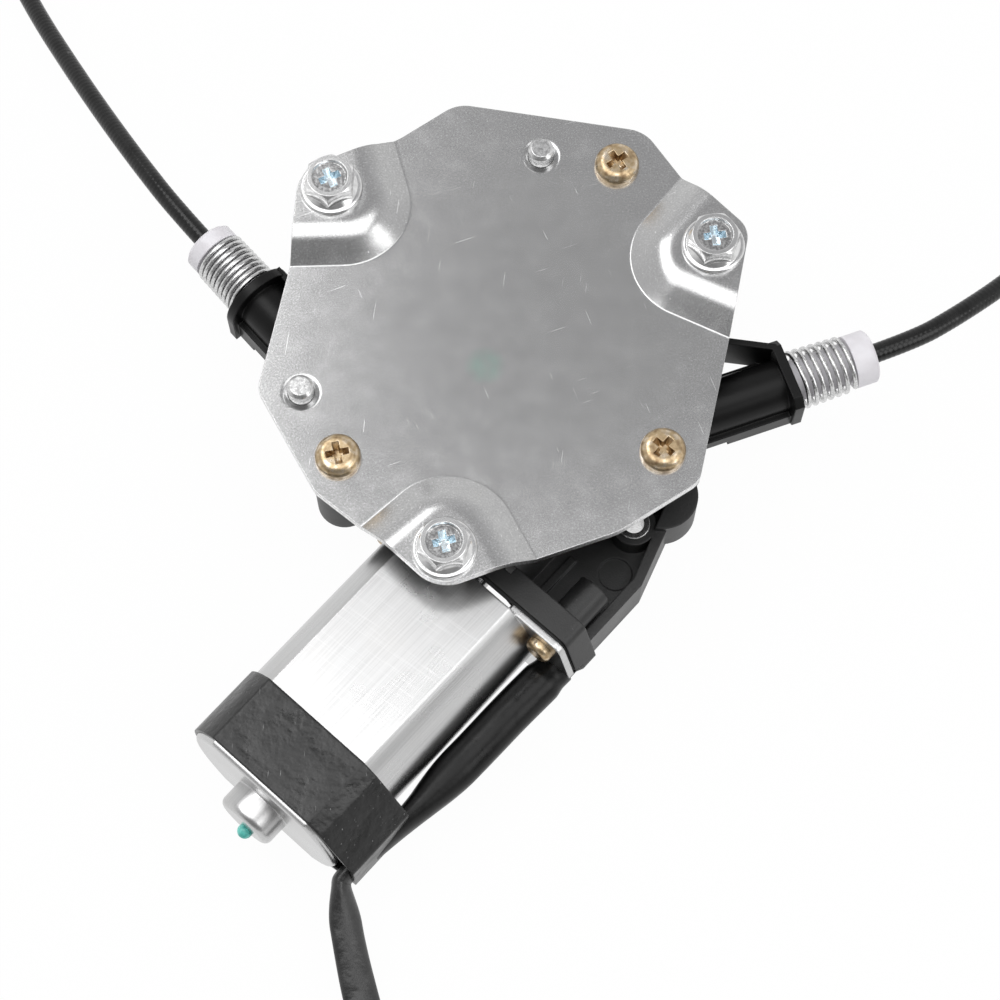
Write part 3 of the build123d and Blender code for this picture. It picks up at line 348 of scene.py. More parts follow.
teal_seal = finish("teal_sealing_paint", colour(110, 190, 176), 0.0, 0.3)
facets = cloud(teal_seal, 0.0015, detail=1)
tint(teal_seal, facets, [(0.3, colour(60, 170, 160)), (0.7, colour(130, 220, 208))])
relief(teal_seal, facets, 0.0003)
dress(teal_seal, "sealing_dot")

# The flange gasket is die-cut rubber sheet. The two flange screws and the plate's three are
# thread-forming, with a yellow passivation that is blotched from straw to brown.

gasket_rubber = finish("gasket_rubber", grey(26), 0.0, 0.7)
relief(gasket_rubber, cloud(gasket_rubber, 0.0004), 0.00005)
dress(gasket_rubber, "motor_gasket", "damper")

yellow_zinc = finish("yellow_passivated_zinc", colour(196, 168, 112), 1.0, 0.32)
bloom = cloud(yellow_zinc, 0.0016)
tint(yellow_zinc, bloom, [
    (0.3, colour(142, 118, 90)), (0.5, colour(192, 170, 136)), (0.7, colour(224, 210, 190)),
])
dull(yellow_zinc, bloom, 0.3, 0.7, 0.4, 0.24)
soften(yellow_zinc, 0.0003)
dress(yellow_zinc, "motor_screws", "pan_screws")

# ---------------------------------------------------------------- worm wheel, driver and drum
# The wheel and the drum are natural acetal, smeared with pale grease at the factory. A rubber
# cushion and a stamped steel driver carry the turn from one to the other. The gear's cover and
# the drum's thrust washer are pressed from the same sheet steel.

acetal = finish("natural_acetal", colour(228, 222, 204), 0.0, 0.4)
grease = cloud(acetal, 0.006)
tint(acetal, grease, [(0.4, colour(216, 204, 172)), (0.6, colour(234, 229, 214))])
dull(acetal, grease, 0.35, 0.65, 0.24, 0.48)
soften(acetal, 0.0003)
dress(acetal, "worm_wheel", "cable_drum")

driver_steel = finish("stamped_driver_steel", grey(160), 1.0, 0.36)
marks = cloud(driver_steel, 0.0005, (20, 1, 1), 0.5)
tint(driver_steel, marks, [(0.35, grey(130)), (0.65, grey(184))])
soften(driver_steel, 0.0002)
dress(driver_steel, "drive_plate", "gear_cover", "thrust_washer")

# ---------------------------------------------------------------- cable on the drum
# The inner cable is stranded galvanised wire, wound on the drum's groove and hooked in it by
# two cast zinc nipples. Its strands show as a fine broken pattern of light and dark.

strand_steel = finish("stranded_cable_steel", grey(168), 1.0, 0.34)
lay = cloud(strand_steel, 0.0005, (1, 1, 1), 0.8, 2)
tint(strand_steel, lay, [(0.35, grey(90)), (0.6, grey(196))])
relief(strand_steel, lay, 0.0001)
dress(strand_steel, "cable_wraps")
dress(strand_steel, "left_inner_cable", "right_inner_cable", "left_end_cable", "right_end_cable")

zinc_cast = finish("cast_zinc", grey(142), 1.0, 0.46)
crust = cloud(zinc_cast, 0.0012, detail=5)
tint(zinc_cast, crust, [(0.3, grey(108)), (0.7, grey(164))])
soften(zinc_cast, 0.0003)
relief(zinc_cast, crust, 0.00005)
dress(zinc_cast, "drum_nipples", "left_cable_end", "right_cable_end")
dress(zinc_cast, "left_ferrule", "right_ferrule")

# ---------------------------------------------------------------- housings
# Both housings are moulded in black glass-filled polyester. The gear housing is satin, with a
# fine grain and specks of dust. The drum housing takes a darker copy of that black, without the
# dust specks: painted shade, as it lies in the shade under the plate.

moulded_black = finish("black_moulded_polyester", grey(38), 0.0, 0.44)
grain = cloud(moulded_black, 0.0004, detail=3)
flow = cloud(moulded_black, 0.02)
dust = cloud(moulded_black, 0.0009, detail=2)
base = paint(moulded_black, flow, [(0.3, grey(22)), (0.7, grey(38))])
base = over(moulded_black, base, grey(96), spread(moulded_black, dust, 0.72, 0.82, 0, 0.35))
into(moulded_black, base, "Base Color")
dull(moulded_black, flow, 0.3, 0.7, 0.36, 0.52)
soften(moulded_black, 0.0005)
relief(moulded_black, grain, 0.00004)
relief(moulded_black, flow, 0.0002)
dress(moulded_black, "gear_housing", "harness_connector")

# A darker copy of the housings' black, without dust: painted shade on the drum housing under the
# plate.
shaded_black = finish("shaded_black_polyester", grey(14), 0.0, 0.36, 0.2)
flow = cloud(shaded_black, 0.02)
tint(shaded_black, flow, [(0.3, grey(9)), (0.7, grey(16))])
dull(shaded_black, flow, 0.3, 0.7, 0.3, 0.42)
soften(shaded_black, 0.0005)
relief(shaded_black, flow, 0.0002)
dress(shaded_black, "drum_housing")

# ---------------------------------------------------------------- post, bush and pins
# The post, the bush and the two locating pins are turned from free-cutting steel and oiled, so
# they stay bright, with the fine rings of the turning.

turned_steel = finish("oiled_turned_steel", grey(206), 1.0, 0.24)
rings = cloud(turned_steel, 0.0008, (1, 1, 0.2))
tint(turned_steel, rings, [(0.32, grey(176)), (0.6, grey(226))])
soften(turned_steel, 0.0003)
dress(turned_steel, "wheel_post", "housing_bush", "locating_pins")

# ---------------------------------------------------------------- mounting plate
# The plate is blanked and drawn from 2 mm galvanised sheet. The three ears rise from a crisp
# crease and roll over softly to their pads, so the stretched metal there reflects in bands.
# Its skin is satin grey and finely speckled, with short scratches from the press and the bin.

galvanised = finish("galvanised_sheet", grey(189), 1.0, 0.26)
mottle = cloud(galvanised, 0.03)
speckle = cloud(galvanised, 0.0004, detail=3)
smear = cloud(galvanised, 0.005, detail=6)
base = paint(galvanised, mottle, [(0.3, grey(188)), (0.5, grey(189)), (0.7, grey(191))])
_, from_middle = about(galvanised, (0.008, 0.002, 0), (0, 0, 1))
handled_rim = spread(galvanised, from_middle, 0.024, 0.056, 0.08, 1)
for tone, mask in (
    (grey(234), spread(galvanised, speckle, 0.53, 0.72, 0, 0.6)),
    (grey(148), spread(galvanised, speckle, 0.43, 0.3, 0, 0.4)),
    (grey(212), spread(galvanised, smear, 0.56, 0.8, 0, 0.5)),
):
    base = over(galvanised, base, tone, both_masks(galvanised, mask, handled_rim))
for turn, long in ((0.35, 22), (-1.2, 16), (1.45, 20)):
    scratch = cloud(galvanised, 0.0005, (long, 1, 1), turn, 1)
    base = over(galvanised, base, grey(236), spread(galvanised, scratch, 0.75, 0.8, 0, 0.9))

# A pale green smudge of marking ink near the middle.
ink = cloud(galvanised, 0.0025, detail=3)
_, from_mark = about(galvanised, (0.001, -0.0061, 0), (0, 0, 1))
smudge = both_masks(galvanised, spread(galvanised, from_mark, 0.0048, 0.0022, 0, 0.5),
                    spread(galvanised, ink, 0.3, 0.6, 0.5, 1))
base = over(galvanised, base, colour(164, 196, 184), smudge)
into(galvanised, base, "Base Color")
dull(galvanised, smear, 0.3, 0.75, 0.2, 0.24)
soften(galvanised, 0.0003)
relief(galvanised, mottle, 0.00002)
relief(galvanised, speckle, 0.000005)

# The sheared edges are bare steel, and their colour is painted lighter still: a painted highlight
# for the bright line where the edges catch the light.
bare_edge_painted_highlight = finish("bare_sheet_edge_painted_highlight", grey(232), 1.0, 0.3)
torn = cloud(bare_edge_painted_highlight, 0.0003, (1, 1, 6), detail=3)
tint(bare_edge_painted_highlight, torn, [(0.35, grey(196)), (0.6, grey(240))])
relief(bare_edge_painted_highlight, torn, 0.00003)

# Sizes in mm: the flat level and the sheet, then the rise of an ear and the run of its slope,
# and the radii of the roll-over at its top and the crease at its foot. Its outline is half the
# angle between its sides, how far from the bolt they would meet, and the tip's radius. The
# sides are drawn long enough to pass the blank's edge.
plate_top, sheet = 40.0, 2.0
rise, run = 4.5, 7.0
slope = atan2(rise, run)
roll, bend = 10.0, 0.6
roll_length, bend_length = roll * tan(slope / 2), bend * tan(slope / 2)
ear_half, ear_tip, ear_tip_r = radians(38), 27.5, 15.0
ear_reach = 60
tip_centre = ear_tip_r / sin(ear_half) - ear_tip

# The ears as (x, y, the way they open in degrees), and the blank's corners as (x, y, radius).
ears = [(-33.4, 35.0, 143.6), (51.4, 20.8, 12.8), (-7.5, -50.1, 260.0)]
blank_corners = [
    (-5.5, 58.6, 8), (37.0, 51.6, 8), (45.6, 39.1, 4), (59.6, 25.0, 6), (54.8, 0.8, 8),
    (47.3, -33.2, 5), (29.7, -44.6, 14), (12.5, -50.7, 4), (-9.0, -58.9, 9), (-24.7, -44.2, 6),
    (-35.7, -35.4, 5), (-48.8, -11.8, 5), (-42.4, 18.2, 8), (-40.7, 39.4, 9), (-23.5, 47.0, 7),
    (-18.0, 50.0, 4),
]
pin_holes = [(13.5, 45.5), (-39.2, -12.3)]
pin_hole_r, dimple_r, dimple_depth = 2.95, 4.4, 0.4
screw_hole_r, bolt_hole_r = 2.7, 3.3
screw_holes = [(x, y, screw_hole_r) for x, y in ((30.6, 42.8), (-30.8, -27.6), (39.5, -26.2))]
screw_holes += [(x, y, bolt_hole_r) for x, y, _ in ears]


def rounded(corners, step=6):
    """A closed outline with an arc at each corner, given as (x, y, radius)."""
    line = []
    for i, (x, y, r) in enumerate(corners):
        here = Vector((x, y))
        back = (Vector(corners[i - 1][:2]) - here).normalized()
        on = (Vector(corners[(i + 1) % len(corners)][:2]) - here).normalized()
        half = back.angle(on) / 2
        centre = here + (back + on).normalized() * r / sin(half)
        first, last = (here + way * r / tan(half) - centre for way in (back, on))
        sweep_by = first.angle_signed(last) * -1
        count = max(2, int(abs(sweep_by) / radians(step)))
        for k in range(count + 1):
            line.append(centre + Matrix.Rotation(sweep_by * k / count, 2) @ first)
    return line


def in_ear(ear, inset, step=5):
    """The line that runs round an ear at this distance inside its crease."""
    x, y, angle = ear
    r = ear_tip_r - inset
    turn = Matrix.Rotation(radians(angle), 2)
    side = Vector((cos(ear_half), sin(ear_half))) * ear_reach

    # The tip's arc, from where one side ends to where the other starts.
    arc = [Vector((tip_centre, 0)) + r * Vector((cos(radians(a)), sin(radians(a))))
           for a in range(128, 233, step)]
    line = [arc[0] + side] + arc + [arc[-1] + Vector((side.x, -side.y))]
    return [turn @ p + Vector((x, y)) for p in line]


def ear_inset(ear, place):
    """How far a point of the plate lies inside an ear's crease."""
    x, y, angle = ear
    p = Matrix.Rotation(-radians(angle), 2) @ (place - Vector((x, y))) - Vector((tip_centre, 0))
    if p.x * cos(ear_half) + abs(p.y) * sin(ear_half) > 0:
        return ear_tip_r + p.x * sin(ear_half) - abs(p.y) * cos(ear_half)
    return ear_tip_r - p.length


def ear_height(inset):
    """The skin's height over the plate: a small bend, a straight slope and a soft roll-over."""
    if inset <= -bend_length:
        return 0.0
    if inset < bend_length * cos(slope):
        return bend - sqrt(max(0, bend ** 2 - (inset + bend_length) ** 2))
    if inset < run - roll_length * cos(slope):
        return inset * tan(slope)
    if inset < run + roll_length:
        return rise - roll + sqrt(roll ** 2 - (run + roll_length - inset) ** 2)
    return rise


def circle(x, y, r, count=40):
    """A closed round line."""
    angles = [2 * pi * k / count for k in range(count)]
    return [Vector((x + r * cos(a), y + r * sin(a))) for a in angles]


def drawn_height(place):
    """How far the ears are drawn up here, over the plate's flat level."""
    return max(ear_height(ear_inset(ear, place)) for ear in ears)


def skin_height(place):
    """The plate's upper skin, with the dimples round the pin holes."""
    height = drawn_height(place)
    for x, y in pin_holes:
        near = (place - Vector((x, y))).length
        if near < dimple_r:
            k = (dimple_r - near) / (dimple_r - pin_hole_r)
            height -= dimple_depth * min(1, k) ** 2 * (3 - 2 * min(1, k))
    return height


corners, edges = [], []


def draw(line, closed=True):
    """A line that the sheet's triangles follow."""
    start = len(corners)
    corners.extend(line)
    edges.extend((start + k, start + k + 1) for k in range(len(line) - 1))
    if closed:
        edges.append((start + len(line) - 1, start))


blank = rounded(blank_corners)
draw(blank)

# The insets of the lines that follow an ear's form, from outside its crease to its flat top.
margin, halfway_up, roll_steps = 0.4, 2.4, 10
levels = [-bend_length - margin, -bend_length, -bend_length / 3, bend_length / 3]
levels += [bend_length * cos(slope), halfway_up]
roll_end = run + roll_length
levels += [roll_end - roll * sin(slope * k / roll_steps) for k in range(roll_steps, -1, -1)]
levels += [roll_end + margin]
for ear in ears:
    for level in levels:
        draw(in_ear(ear, level), closed=False)
holes = [(x, y, pin_hole_r) for x, y in pin_holes] + screw_holes
for x, y, r in holes:
    draw(circle(x, y, r))
for x, y in pin_holes:
    for k in range(1, 7):
        draw(circle(x, y, pin_hole_r + (dimple_r - pin_hole_r) * k / 5))

# Triangles over all that is drawn, which are then kept inside the blank and outside its holes.
flat, _, faces, _, _, _ = delaunay_2d_cdt(corners, edges, [], 0, 1e-5)


def inside(place, outline):
    """Whether a point lies within a closed outline."""
    hit = False
    for a, b in zip(outline, outline[1:] + outline[:1]):
        if (a.y > place.y) != (b.y > place.y):
            if place.x < a.x + (place.y - a.y) * (b.x - a.x) / (b.y - a.y):
                hit = not hit
    return hit


def put(name, data):
    """A new piece in the scene, at the origin."""
    piece = bpy.data.objects.new(name, data)
    bpy.context.collection.objects.link(piece)
    return piece


def smooth(piece):
    """Shaded as one soft surface."""
    for face in piece.data.polygons:
        face.use_smooth = True
    return piece


kept = []
for face in faces:
    middle = sum((flat[k] for k in face), Vector((0, 0))) / 3
    if inside(middle, blank) and all((middle - Vector((x, y))).length > r for x, y, r in holes):
        kept.append(tuple(face))
count = len(flat)
tops = [Vector((p.x, p.y, plate_top + skin_height(p))) / 1000 for p in flat]
unders = [Vector((p.x, p.y, plate_top - sheet + drawn_height(p))) / 1000 for p in flat]
rims = dict.fromkeys((a, b) for face in kept for a, b in zip(face, face[1:] + face[:1]))
walls = [(b, a, a + count, b + count) for a, b in rims if (b, a) not in rims]
skin = bpy.data.meshes.new("stamped_plate")
under_faces = [tuple(k + count for k in face[::-1]) for face in kept]
skin.from_pydata(tops + unders, [], kept + under_faces + walls)
skin.materials.append(galvanised)
skin.materials.append(bare_edge_painted_highlight)
for wall in skin.polygons[2 * len(kept):]:
    wall.material_index = 1
stamped = put("stamped_plate", skin)
form = bmesh.new()
form.from_mesh(skin)
bmesh.ops.delete(form, geom=[v for v in form.verts if not v.link_faces], context="VERTS")
form.to_mesh(skin)
form.free()
smooth(stamped)
skin.set_sharp_from_angle(angle=radians(40))
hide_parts("mounting_plate")
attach(stamped, "unit")

# ---------------------------------------------------------------- ear bolts and clinch nuts
# M6 hex flange screws with a dished head and a cross recess, blue-passivated, so the recess
# shows a cyan tint where the clear film pooled. Flanged clinch nuts of the same finish hold
# them under the ears.

blue_zinc = finish("blue_passivated_zinc", grey(222), 1.0, 0.16)
patches = cloud(blue_zinc, 0.0016, detail=5)
base = paint(blue_zinc, patches, [(0.3, grey(204)), (0.5, grey(222)), (0.7, grey(234))])

# The distance to the nearest head's middle, which is this many mm over the table.
t = blue_zinc.node_tree
head_middle = 48.2
nearest = None
for x, y, _ in ears:
    where = t.nodes.new("ShaderNodeTexCoord")
    reach = t.nodes.new("ShaderNodeVectorMath")
    reach.operation = "DISTANCE"
    reach.inputs[1].default_value = Vector((x, y, head_middle)) / 1000
    t.links.new(where.outputs["Object"], reach.inputs[0])
    here = reach.outputs["Value"]
    nearest = here if nearest is None else math_node(t, "MINIMUM", nearest, here)
height, _ = about(blue_zinc, (0, 0, 0), (0, 0, 1))

# Where each look starts and is full, in metres: from a head's middle, and over the table.
recess_reach, recess_height = (0.0034, 0.0028), (0.04978, 0.0496)
dish_reach, dish_height = (0.0043, 0.0041), (0.05, 0.0499)
thread_height, thread_pitch = (0.0378, 0.0374), 0.001
pooled = both_masks(blue_zinc, spread(blue_zinc, nearest, *recess_reach, 0, 1),
                    spread(blue_zinc, height, *recess_height, 0, 0.85))
dish = both_masks(blue_zinc, spread(blue_zinc, nearest, *dish_reach, 0, 1),
                  spread(blue_zinc, height, *dish_height, 0, 0.8))
fleck = cloud(blue_zinc, 0.0005, detail=3)
base = over(blue_zinc, base, paint(blue_zinc, fleck, [(0.4, grey(140)), (0.62, grey(214))]), dish)
base = over(blue_zinc, base, colour(235, 246, 252), pooled)
into(blue_zinc, base, "Base Color")
dull(blue_zinc, patches, 0.3, 0.7, 0.22, 0.12)
soften(blue_zinc, 0.00025)
thread = both_masks(blue_zinc, spread(blue_zinc, height, *thread_height, 0, 1),
                    wave(blue_zinc, height, thread_pitch))
relief(blue_zinc, thread, 0.0005)
dress(blue_zinc, "ear_bolts", "clinch_nuts")

# ---------------------------------------------------------------- cable sleeves and springs
# Each conduit ends in a white acetal sleeve that slides in an outlet of the drum housing. A
# compression spring of bright steel wire pushes its head outwards and takes up the slack.

white_acetal = finish("white_acetal", colour(244, 244, 240), 0.0, 0.38)
handled = cloud(white_acetal, 0.004, detail=5)
tint(white_acetal, handled, [(0.3, colour(208, 205, 209)), (0.6, colour(220, 218, 222))])
dull(white_acetal, handled, 0.3, 0.7, 0.3, 0.46)
soften(white_acetal, 0.0004)
dress(white_acetal, "left_sleeve", "right_sleeve")

# Each outlet in mm: where its axis starts and its way, how far along it the spring's room
# starts and how long that room is, the coils and the radii of the first and last one, and the
# sleeve's travel. The wire's middle starts and ends 0.6 mm inside the room.
wire_r, seat = 0.55, 0.6
outlets = {
    "left": dict(start=(-20.971, -18.553, 30.3), way=(-0.66262, 0.74896, 0), face=44.9,
                 spring=13.5, coils=9, radii=(6.1, 5.9), travel=3.0),
    "right": dict(start=(9.393, -26.378, 28.3), way=(0.94206, 0.33545, 0), face=63.0,
                  spring=14.3, coils=7, radii=(6.4, 6.0), travel=4.5),
}


def new_tree(name, sizes):
    """A geometry tree with named sizes, which takes one piece and gives one piece."""
    tree = bpy.data.node_groups.new(name, "GeometryNodeTree")
    tree.interface.new_socket("Geometry", in_out="INPUT", socket_type="NodeSocketGeometry")
    tree.interface.new_socket("Geometry", in_out="OUTPUT", socket_type="NodeSocketGeometry")
    for size in sizes:
        tree.interface.new_socket(size, in_out="INPUT", socket_type="NodeSocketFloat")
    return tree, tree.nodes.new("NodeGroupInput"), tree.nodes.new("NodeGroupOutput")


def close_tree(tree, output, last, material):
    """The tree's end: everything real, in one material."""
    real = tree.nodes.new("GeometryNodeRealizeInstances")
    coat = tree.nodes.new("GeometryNodeSetMaterial")
    coat.inputs["Material"].default_value = material
    tree.links.new(last, real.inputs[0])
    tree.links.new(real.outputs[0], coat.inputs["Geometry"])
    tree.links.new(coat.outputs[0], output.inputs[0])


def grow(tree, source, name, sizes, place=None):
    """The tree's result on a source piece, as a plain mesh piece of its own."""
    modifier = source.modifiers.new(tree.name, "NODES")
    modifier.node_group = tree
    for item in tree.interface.items_tree:
        if item.in_out == "INPUT" and item.name in sizes:
            modifier[item.identifier] = sizes[item.name]
    shapes = bpy.context.evaluated_depsgraph_get()
    mesh = bpy.data.meshes.new_from_object(source.evaluated_get(shapes), depsgraph=shapes)
    source.modifiers.remove(modifier)
    if place is not None:
        mesh.transform(place)
    mesh.name = name
    bpy.data.objects.remove(source)
    return put(name, mesh)


spring_tree, spring_in, spring_out = new_tree("compression_spring", [
    "Coils", "First Radius", "Last Radius", "Length", "Wire Radius",
])
coil = spring_tree.nodes.new("GeometryNodeCurveSpiral")
coil.inputs["Resolution"].default_value = 40
wire = spring_tree.nodes.new("GeometryNodeCurvePrimitiveCircle")
wire.inputs["Resolution"].default_value = 14
drawn_wire = spring_tree.nodes.new("GeometryNodeCurveToMesh")
drawn_wire.inputs["Fill Caps"].default_value = True
for size, socket in (("Coils", "Rotations"), ("First Radius", "Start Radius"),
                     ("Last Radius", "End Radius"), ("Length", "Height")):
    spring_tree.links.new(spring_in.outputs[size], coil.inputs[socket])
spring_tree.links.new(spring_in.outputs["Wire Radius"], wire.inputs["Radius"])
spring_tree.links.new(coil.outputs[0], drawn_wire.inputs["Curve"])
spring_tree.links.new(wire.outputs[0], drawn_wire.inputs["Profile Curve"])
close_tree(spring_tree, spring_out, drawn_wire.outputs[0], spring_wire)

for side, o in outlets.items():
    way = Vector(o["way"])
    across = way.cross(Vector((0, 0, 1)))
    start = (Vector(o["start"]) + way * (o["face"] + seat)) / 1000
    upright = Matrix((across, Vector((0, 0, 1)), way)).transposed().to_4x4()
    place = Matrix.Translation(start) @ upright
    first_r, last_r = o["radii"]
    spring = grow(spring_tree, put("seed", bpy.data.meshes.new("seed")), side + "_spring_wire", {
        "Coils": float(o["coils"]), "First Radius": first_r / 1000, "Last Radius": last_r / 1000,
        "Length": (o["spring"] - 2 * seat) / 1000, "Wire Radius": wire_r / 1000,
    }, place)
    smooth(spring)
    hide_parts(side + "_spring")
    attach(spring, "unit")
    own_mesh(spring)

# ---------------------------------------------------------------- conduits
# Bowden conduit: flat steel wire wound close and covered with black plastic. The winding
# shows through as fine ribs along it, and the skin is semi-gloss with a few scuffs.

conduit_skin = finish("conduit_skin", grey(26), 0.0, 0.34, 0.35)
rubbed = cloud(conduit_skin, 0.004, detail=5)
base = paint(conduit_skin, rubbed, [(0.3, grey(14)), (0.6, grey(24))])
base = over(conduit_skin, base, grey(110), spread(conduit_skin, rubbed, 0.7, 0.78, 0, 0.5))
into(conduit_skin, base, "Base Color")
dull(conduit_skin, rubbed, 0.3, 0.7, 0.2, 0.32)

conduit_tree, conduit_in, conduit_out = new_tree("wound_conduit", [
    "Radius", "Rib Pitch", "Rib Depth", "Step",
])
even = conduit_tree.nodes.new("GeometryNodeResampleCurve")
even.mode = "LENGTH"
conduit_tree.links.new(conduit_in.outputs[0], even.inputs["Curve"])
conduit_tree.links.new(conduit_in.outputs["Step"], even.inputs["Length"])
travelled = conduit_tree.nodes.new("GeometryNodeSplineParameter")
turns = math_node(
    conduit_tree, "DIVIDE", travelled.outputs["Length"], conduit_in.outputs["Rib Pitch"])
ripple = math_node(conduit_tree, "COSINE", math_node(conduit_tree, "MULTIPLY", turns, 2 * pi))
depth = math_node(conduit_tree, "MULTIPLY", ripple, conduit_in.outputs["Rib Depth"])
section = conduit_tree.nodes.new("GeometryNodeCurvePrimitiveCircle")
section.inputs["Resolution"].default_value = 20
section.inputs["Radius"].default_value = 1.0
hose = conduit_tree.nodes.new("GeometryNodeCurveToMesh")
hose.inputs["Fill Caps"].default_value = True
conduit_tree.links.new(even.outputs[0], hose.inputs["Curve"])
conduit_tree.links.new(section.outputs[0], hose.inputs["Profile Curve"])
radius = math_node(conduit_tree, "ADD", conduit_in.outputs["Radius"], depth)
conduit_tree.links.new(radius, hose.inputs["Scale"])
close_tree(conduit_tree, conduit_out, hose.outputs[0], conduit_skin)


def route(name, points):
    """One smooth open line, which the route's points in mm steer."""
    line = bpy.data.curves.new(name, "CURVE")
    line.dimensions = "3D"
    line.resolution_u = 24
    spline = line.splines.new("NURBS")
    spline.points.add(len(points) - 1)
    for point, place in zip(spline.points, points):
        point.co = (*[v / 1000 for v in place], 1)
    spline.order_u = 3
    spline.use_endpoint_u = True
    return put(name, line)


def line_points(piece):
    """The points that a smooth line passes through."""
    shapes = bpy.context.evaluated_depsgraph_get()
    mesh = bpy.data.meshes.new_from_object(piece.evaluated_get(shapes), depsgraph=shapes)
    points = [tuple(v.co) for v in mesh.vertices]
    bpy.data.meshes.remove(mesh)
    return points


# Each conduit's length in metres, and its route in mm from the sleeve to the ferrule.
conduit_routes = {
    "left": (0.2119, [
        (-57.018, 22.190, 30.3), (-69.011, 35.747, 30.3), (-79.3, 50.4, 27.0), (-88.8, 65.3, 22.2),
        (-98.2, 81.0, 16.8), (-108.4, 98.8, 11.0), (-117.4, 117.0, 5.8), (-121.2, 136.2, 3.0),
        (-115.0, 154.4, 2.55), (-99.8, 167.2, 2.55), (-80.2, 169.4, 3.4), (-62.8, 161.0, 4.3),
    ]),
    "right": (0.2002, [
        (78.634, -1.722, 28.3), (96.533, 4.651, 28.3), (107.6, 11.6, 27.0), (121.0, 22.0, 23.6),
        (133.6, 34.8, 18.6), (143.6, 49.8, 13.0), (150.4, 66.8, 7.8), (153.4, 85.2, 4.0),
        (150.6, 104.0, 2.6), (142.4, 121.4, 2.55), (129.0, 135.2, 3.4), (112.4, 143.4, 4.3),
    ]),
}
for side, (length, points) in conduit_routes.items():
    line = route(side + "_line", points)
    path = line_points(line)
    conduit = grow(conduit_tree, line, side + "_conduit_tube", {
        "Radius": 0.00222, "Rib Pitch": 0.0012, "Rib Depth": 0.00002, "Step": 0.00024,
    })
    smooth(conduit)
    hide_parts(side + "_conduit")
    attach(conduit, side + "_end")

# ---------------------------------------------------------------- wiring
# The motor's two wires run in a soft black sleeve that is moulded on at the flange, down the
# can's side and under the band, which presses it flat. The free end is a limp flat tube
# with a fold along it, and ends in a two-way plug.

soft_sleeve = finish("soft_black_sleeving", grey(28), 0.0, 0.4, 0.25)
creases = cloud(soft_sleeve, 0.007, detail=3)
tint(soft_sleeve, creases, [(0.3, grey(9)), (0.7, grey(17))])
dull(soft_sleeve, creases, 0.3, 0.7, 0.26, 0.4)
relief(soft_sleeve, creases, 0.0003)


def sweep(name, points, section, material):
    """A closed tube along the points: section(f) gives the ring's points at the fraction f."""
    rings, faces = [], []
    points = [Vector(p) for p in points]
    for i, p in enumerate(points):
        ahead = (points[min(i + 1, len(points) - 1)] - points[max(i - 1, 0)]).normalized()
        across = ahead.cross(Vector((0, 0, 1))).normalized()
        up = across.cross(ahead)
        rings.append([p + across * u + up * v for u, v in section(i / (len(points) - 1))])
    n = len(rings[0])
    last = (len(rings) - 1) * n
    for near in range(0, last, n):
        far = near + n
        faces += [(near + k, near + (k + 1) % n, far + (k + 1) % n, far + k) for k in range(n)]
    faces += [tuple(range(n))[::-1], tuple(range(last, last + n))]
    mesh = bpy.data.meshes.new(name)
    mesh.from_pydata([v for ring in rings for v in ring], [], faces)
    mesh.materials.append(material)
    return smooth(put(name, mesh))


def blend_between(f, stops):
    """Values between stops given as (fraction, value), eased."""
    for (a, low), (b, high) in zip(stops, stops[1:]):
        if f <= b:
            k = (f - a) / (b - a)
            k = k * k * (3 - 2 * k)
            return low + (high - low) * k
    return stops[-1][1]


def oval(width, height, lean=0.0, n=28):
    """A tube's section, which the lean tips to one side."""
    angles = [2 * pi * k / n for k in range(n)]
    return [(width / 2 * cos(a), height / 2 * sin(a) + lean * cos(a)) for a in angles]


def path_through(name, points):
    """The smooth line's points alone."""
    line = route(name, points)
    path = line_points(line)
    bpy.data.objects.remove(line)
    return path


sleeve_points = [motor_point(*p) * 1000 for p in (
    (-26.3, -2.5, -38.5), (-26.1, -2.5, -44.0), (-25.7, -2.5, -53.4), (-25.6, -2.9, -63.4),
    (-25.2, -3.4, -74.9), (-24.9, -3.9, -85.4), (-23.6, -4.8, -96.0),
)]
path = path_through("sleeve_line", sleeve_points)
wiring = sweep("wiring_sleeving", path, lambda f: oval(
    blend_between(f, [(0, 0.0086), (0.04, 0.0086), (0.1, 0.0096), (0.6, 0.0094), (1, 0.0046)]),
    blend_between(f, [(0, 0.0086), (0.04, 0.0086), (0.1, 0.0096), (0.6, 0.0090), (1, 0.0086)]),
), soft_sleeve)
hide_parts("harness_sleeve", "harness_grommet")
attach(wiring, "unit")

# The tail's copy of the sleeving is glossier, and its black is painted lighter: a painted
# highlight on the limp fold.
tail_sleeve_painted_highlight = finish("tail_sleeving_painted_highlight", grey(34), 0.0, 0.36, 0.6)
folds = cloud(tail_sleeve_painted_highlight, 0.004, detail=3)
tint(tail_sleeve_painted_highlight, folds, [(0.3, grey(24)), (0.7, grey(44))])
dull(tail_sleeve_painted_highlight, folds, 0.3, 0.7, 0.28, 0.44)
relief(tail_sleeve_painted_highlight, folds, 0.0004)

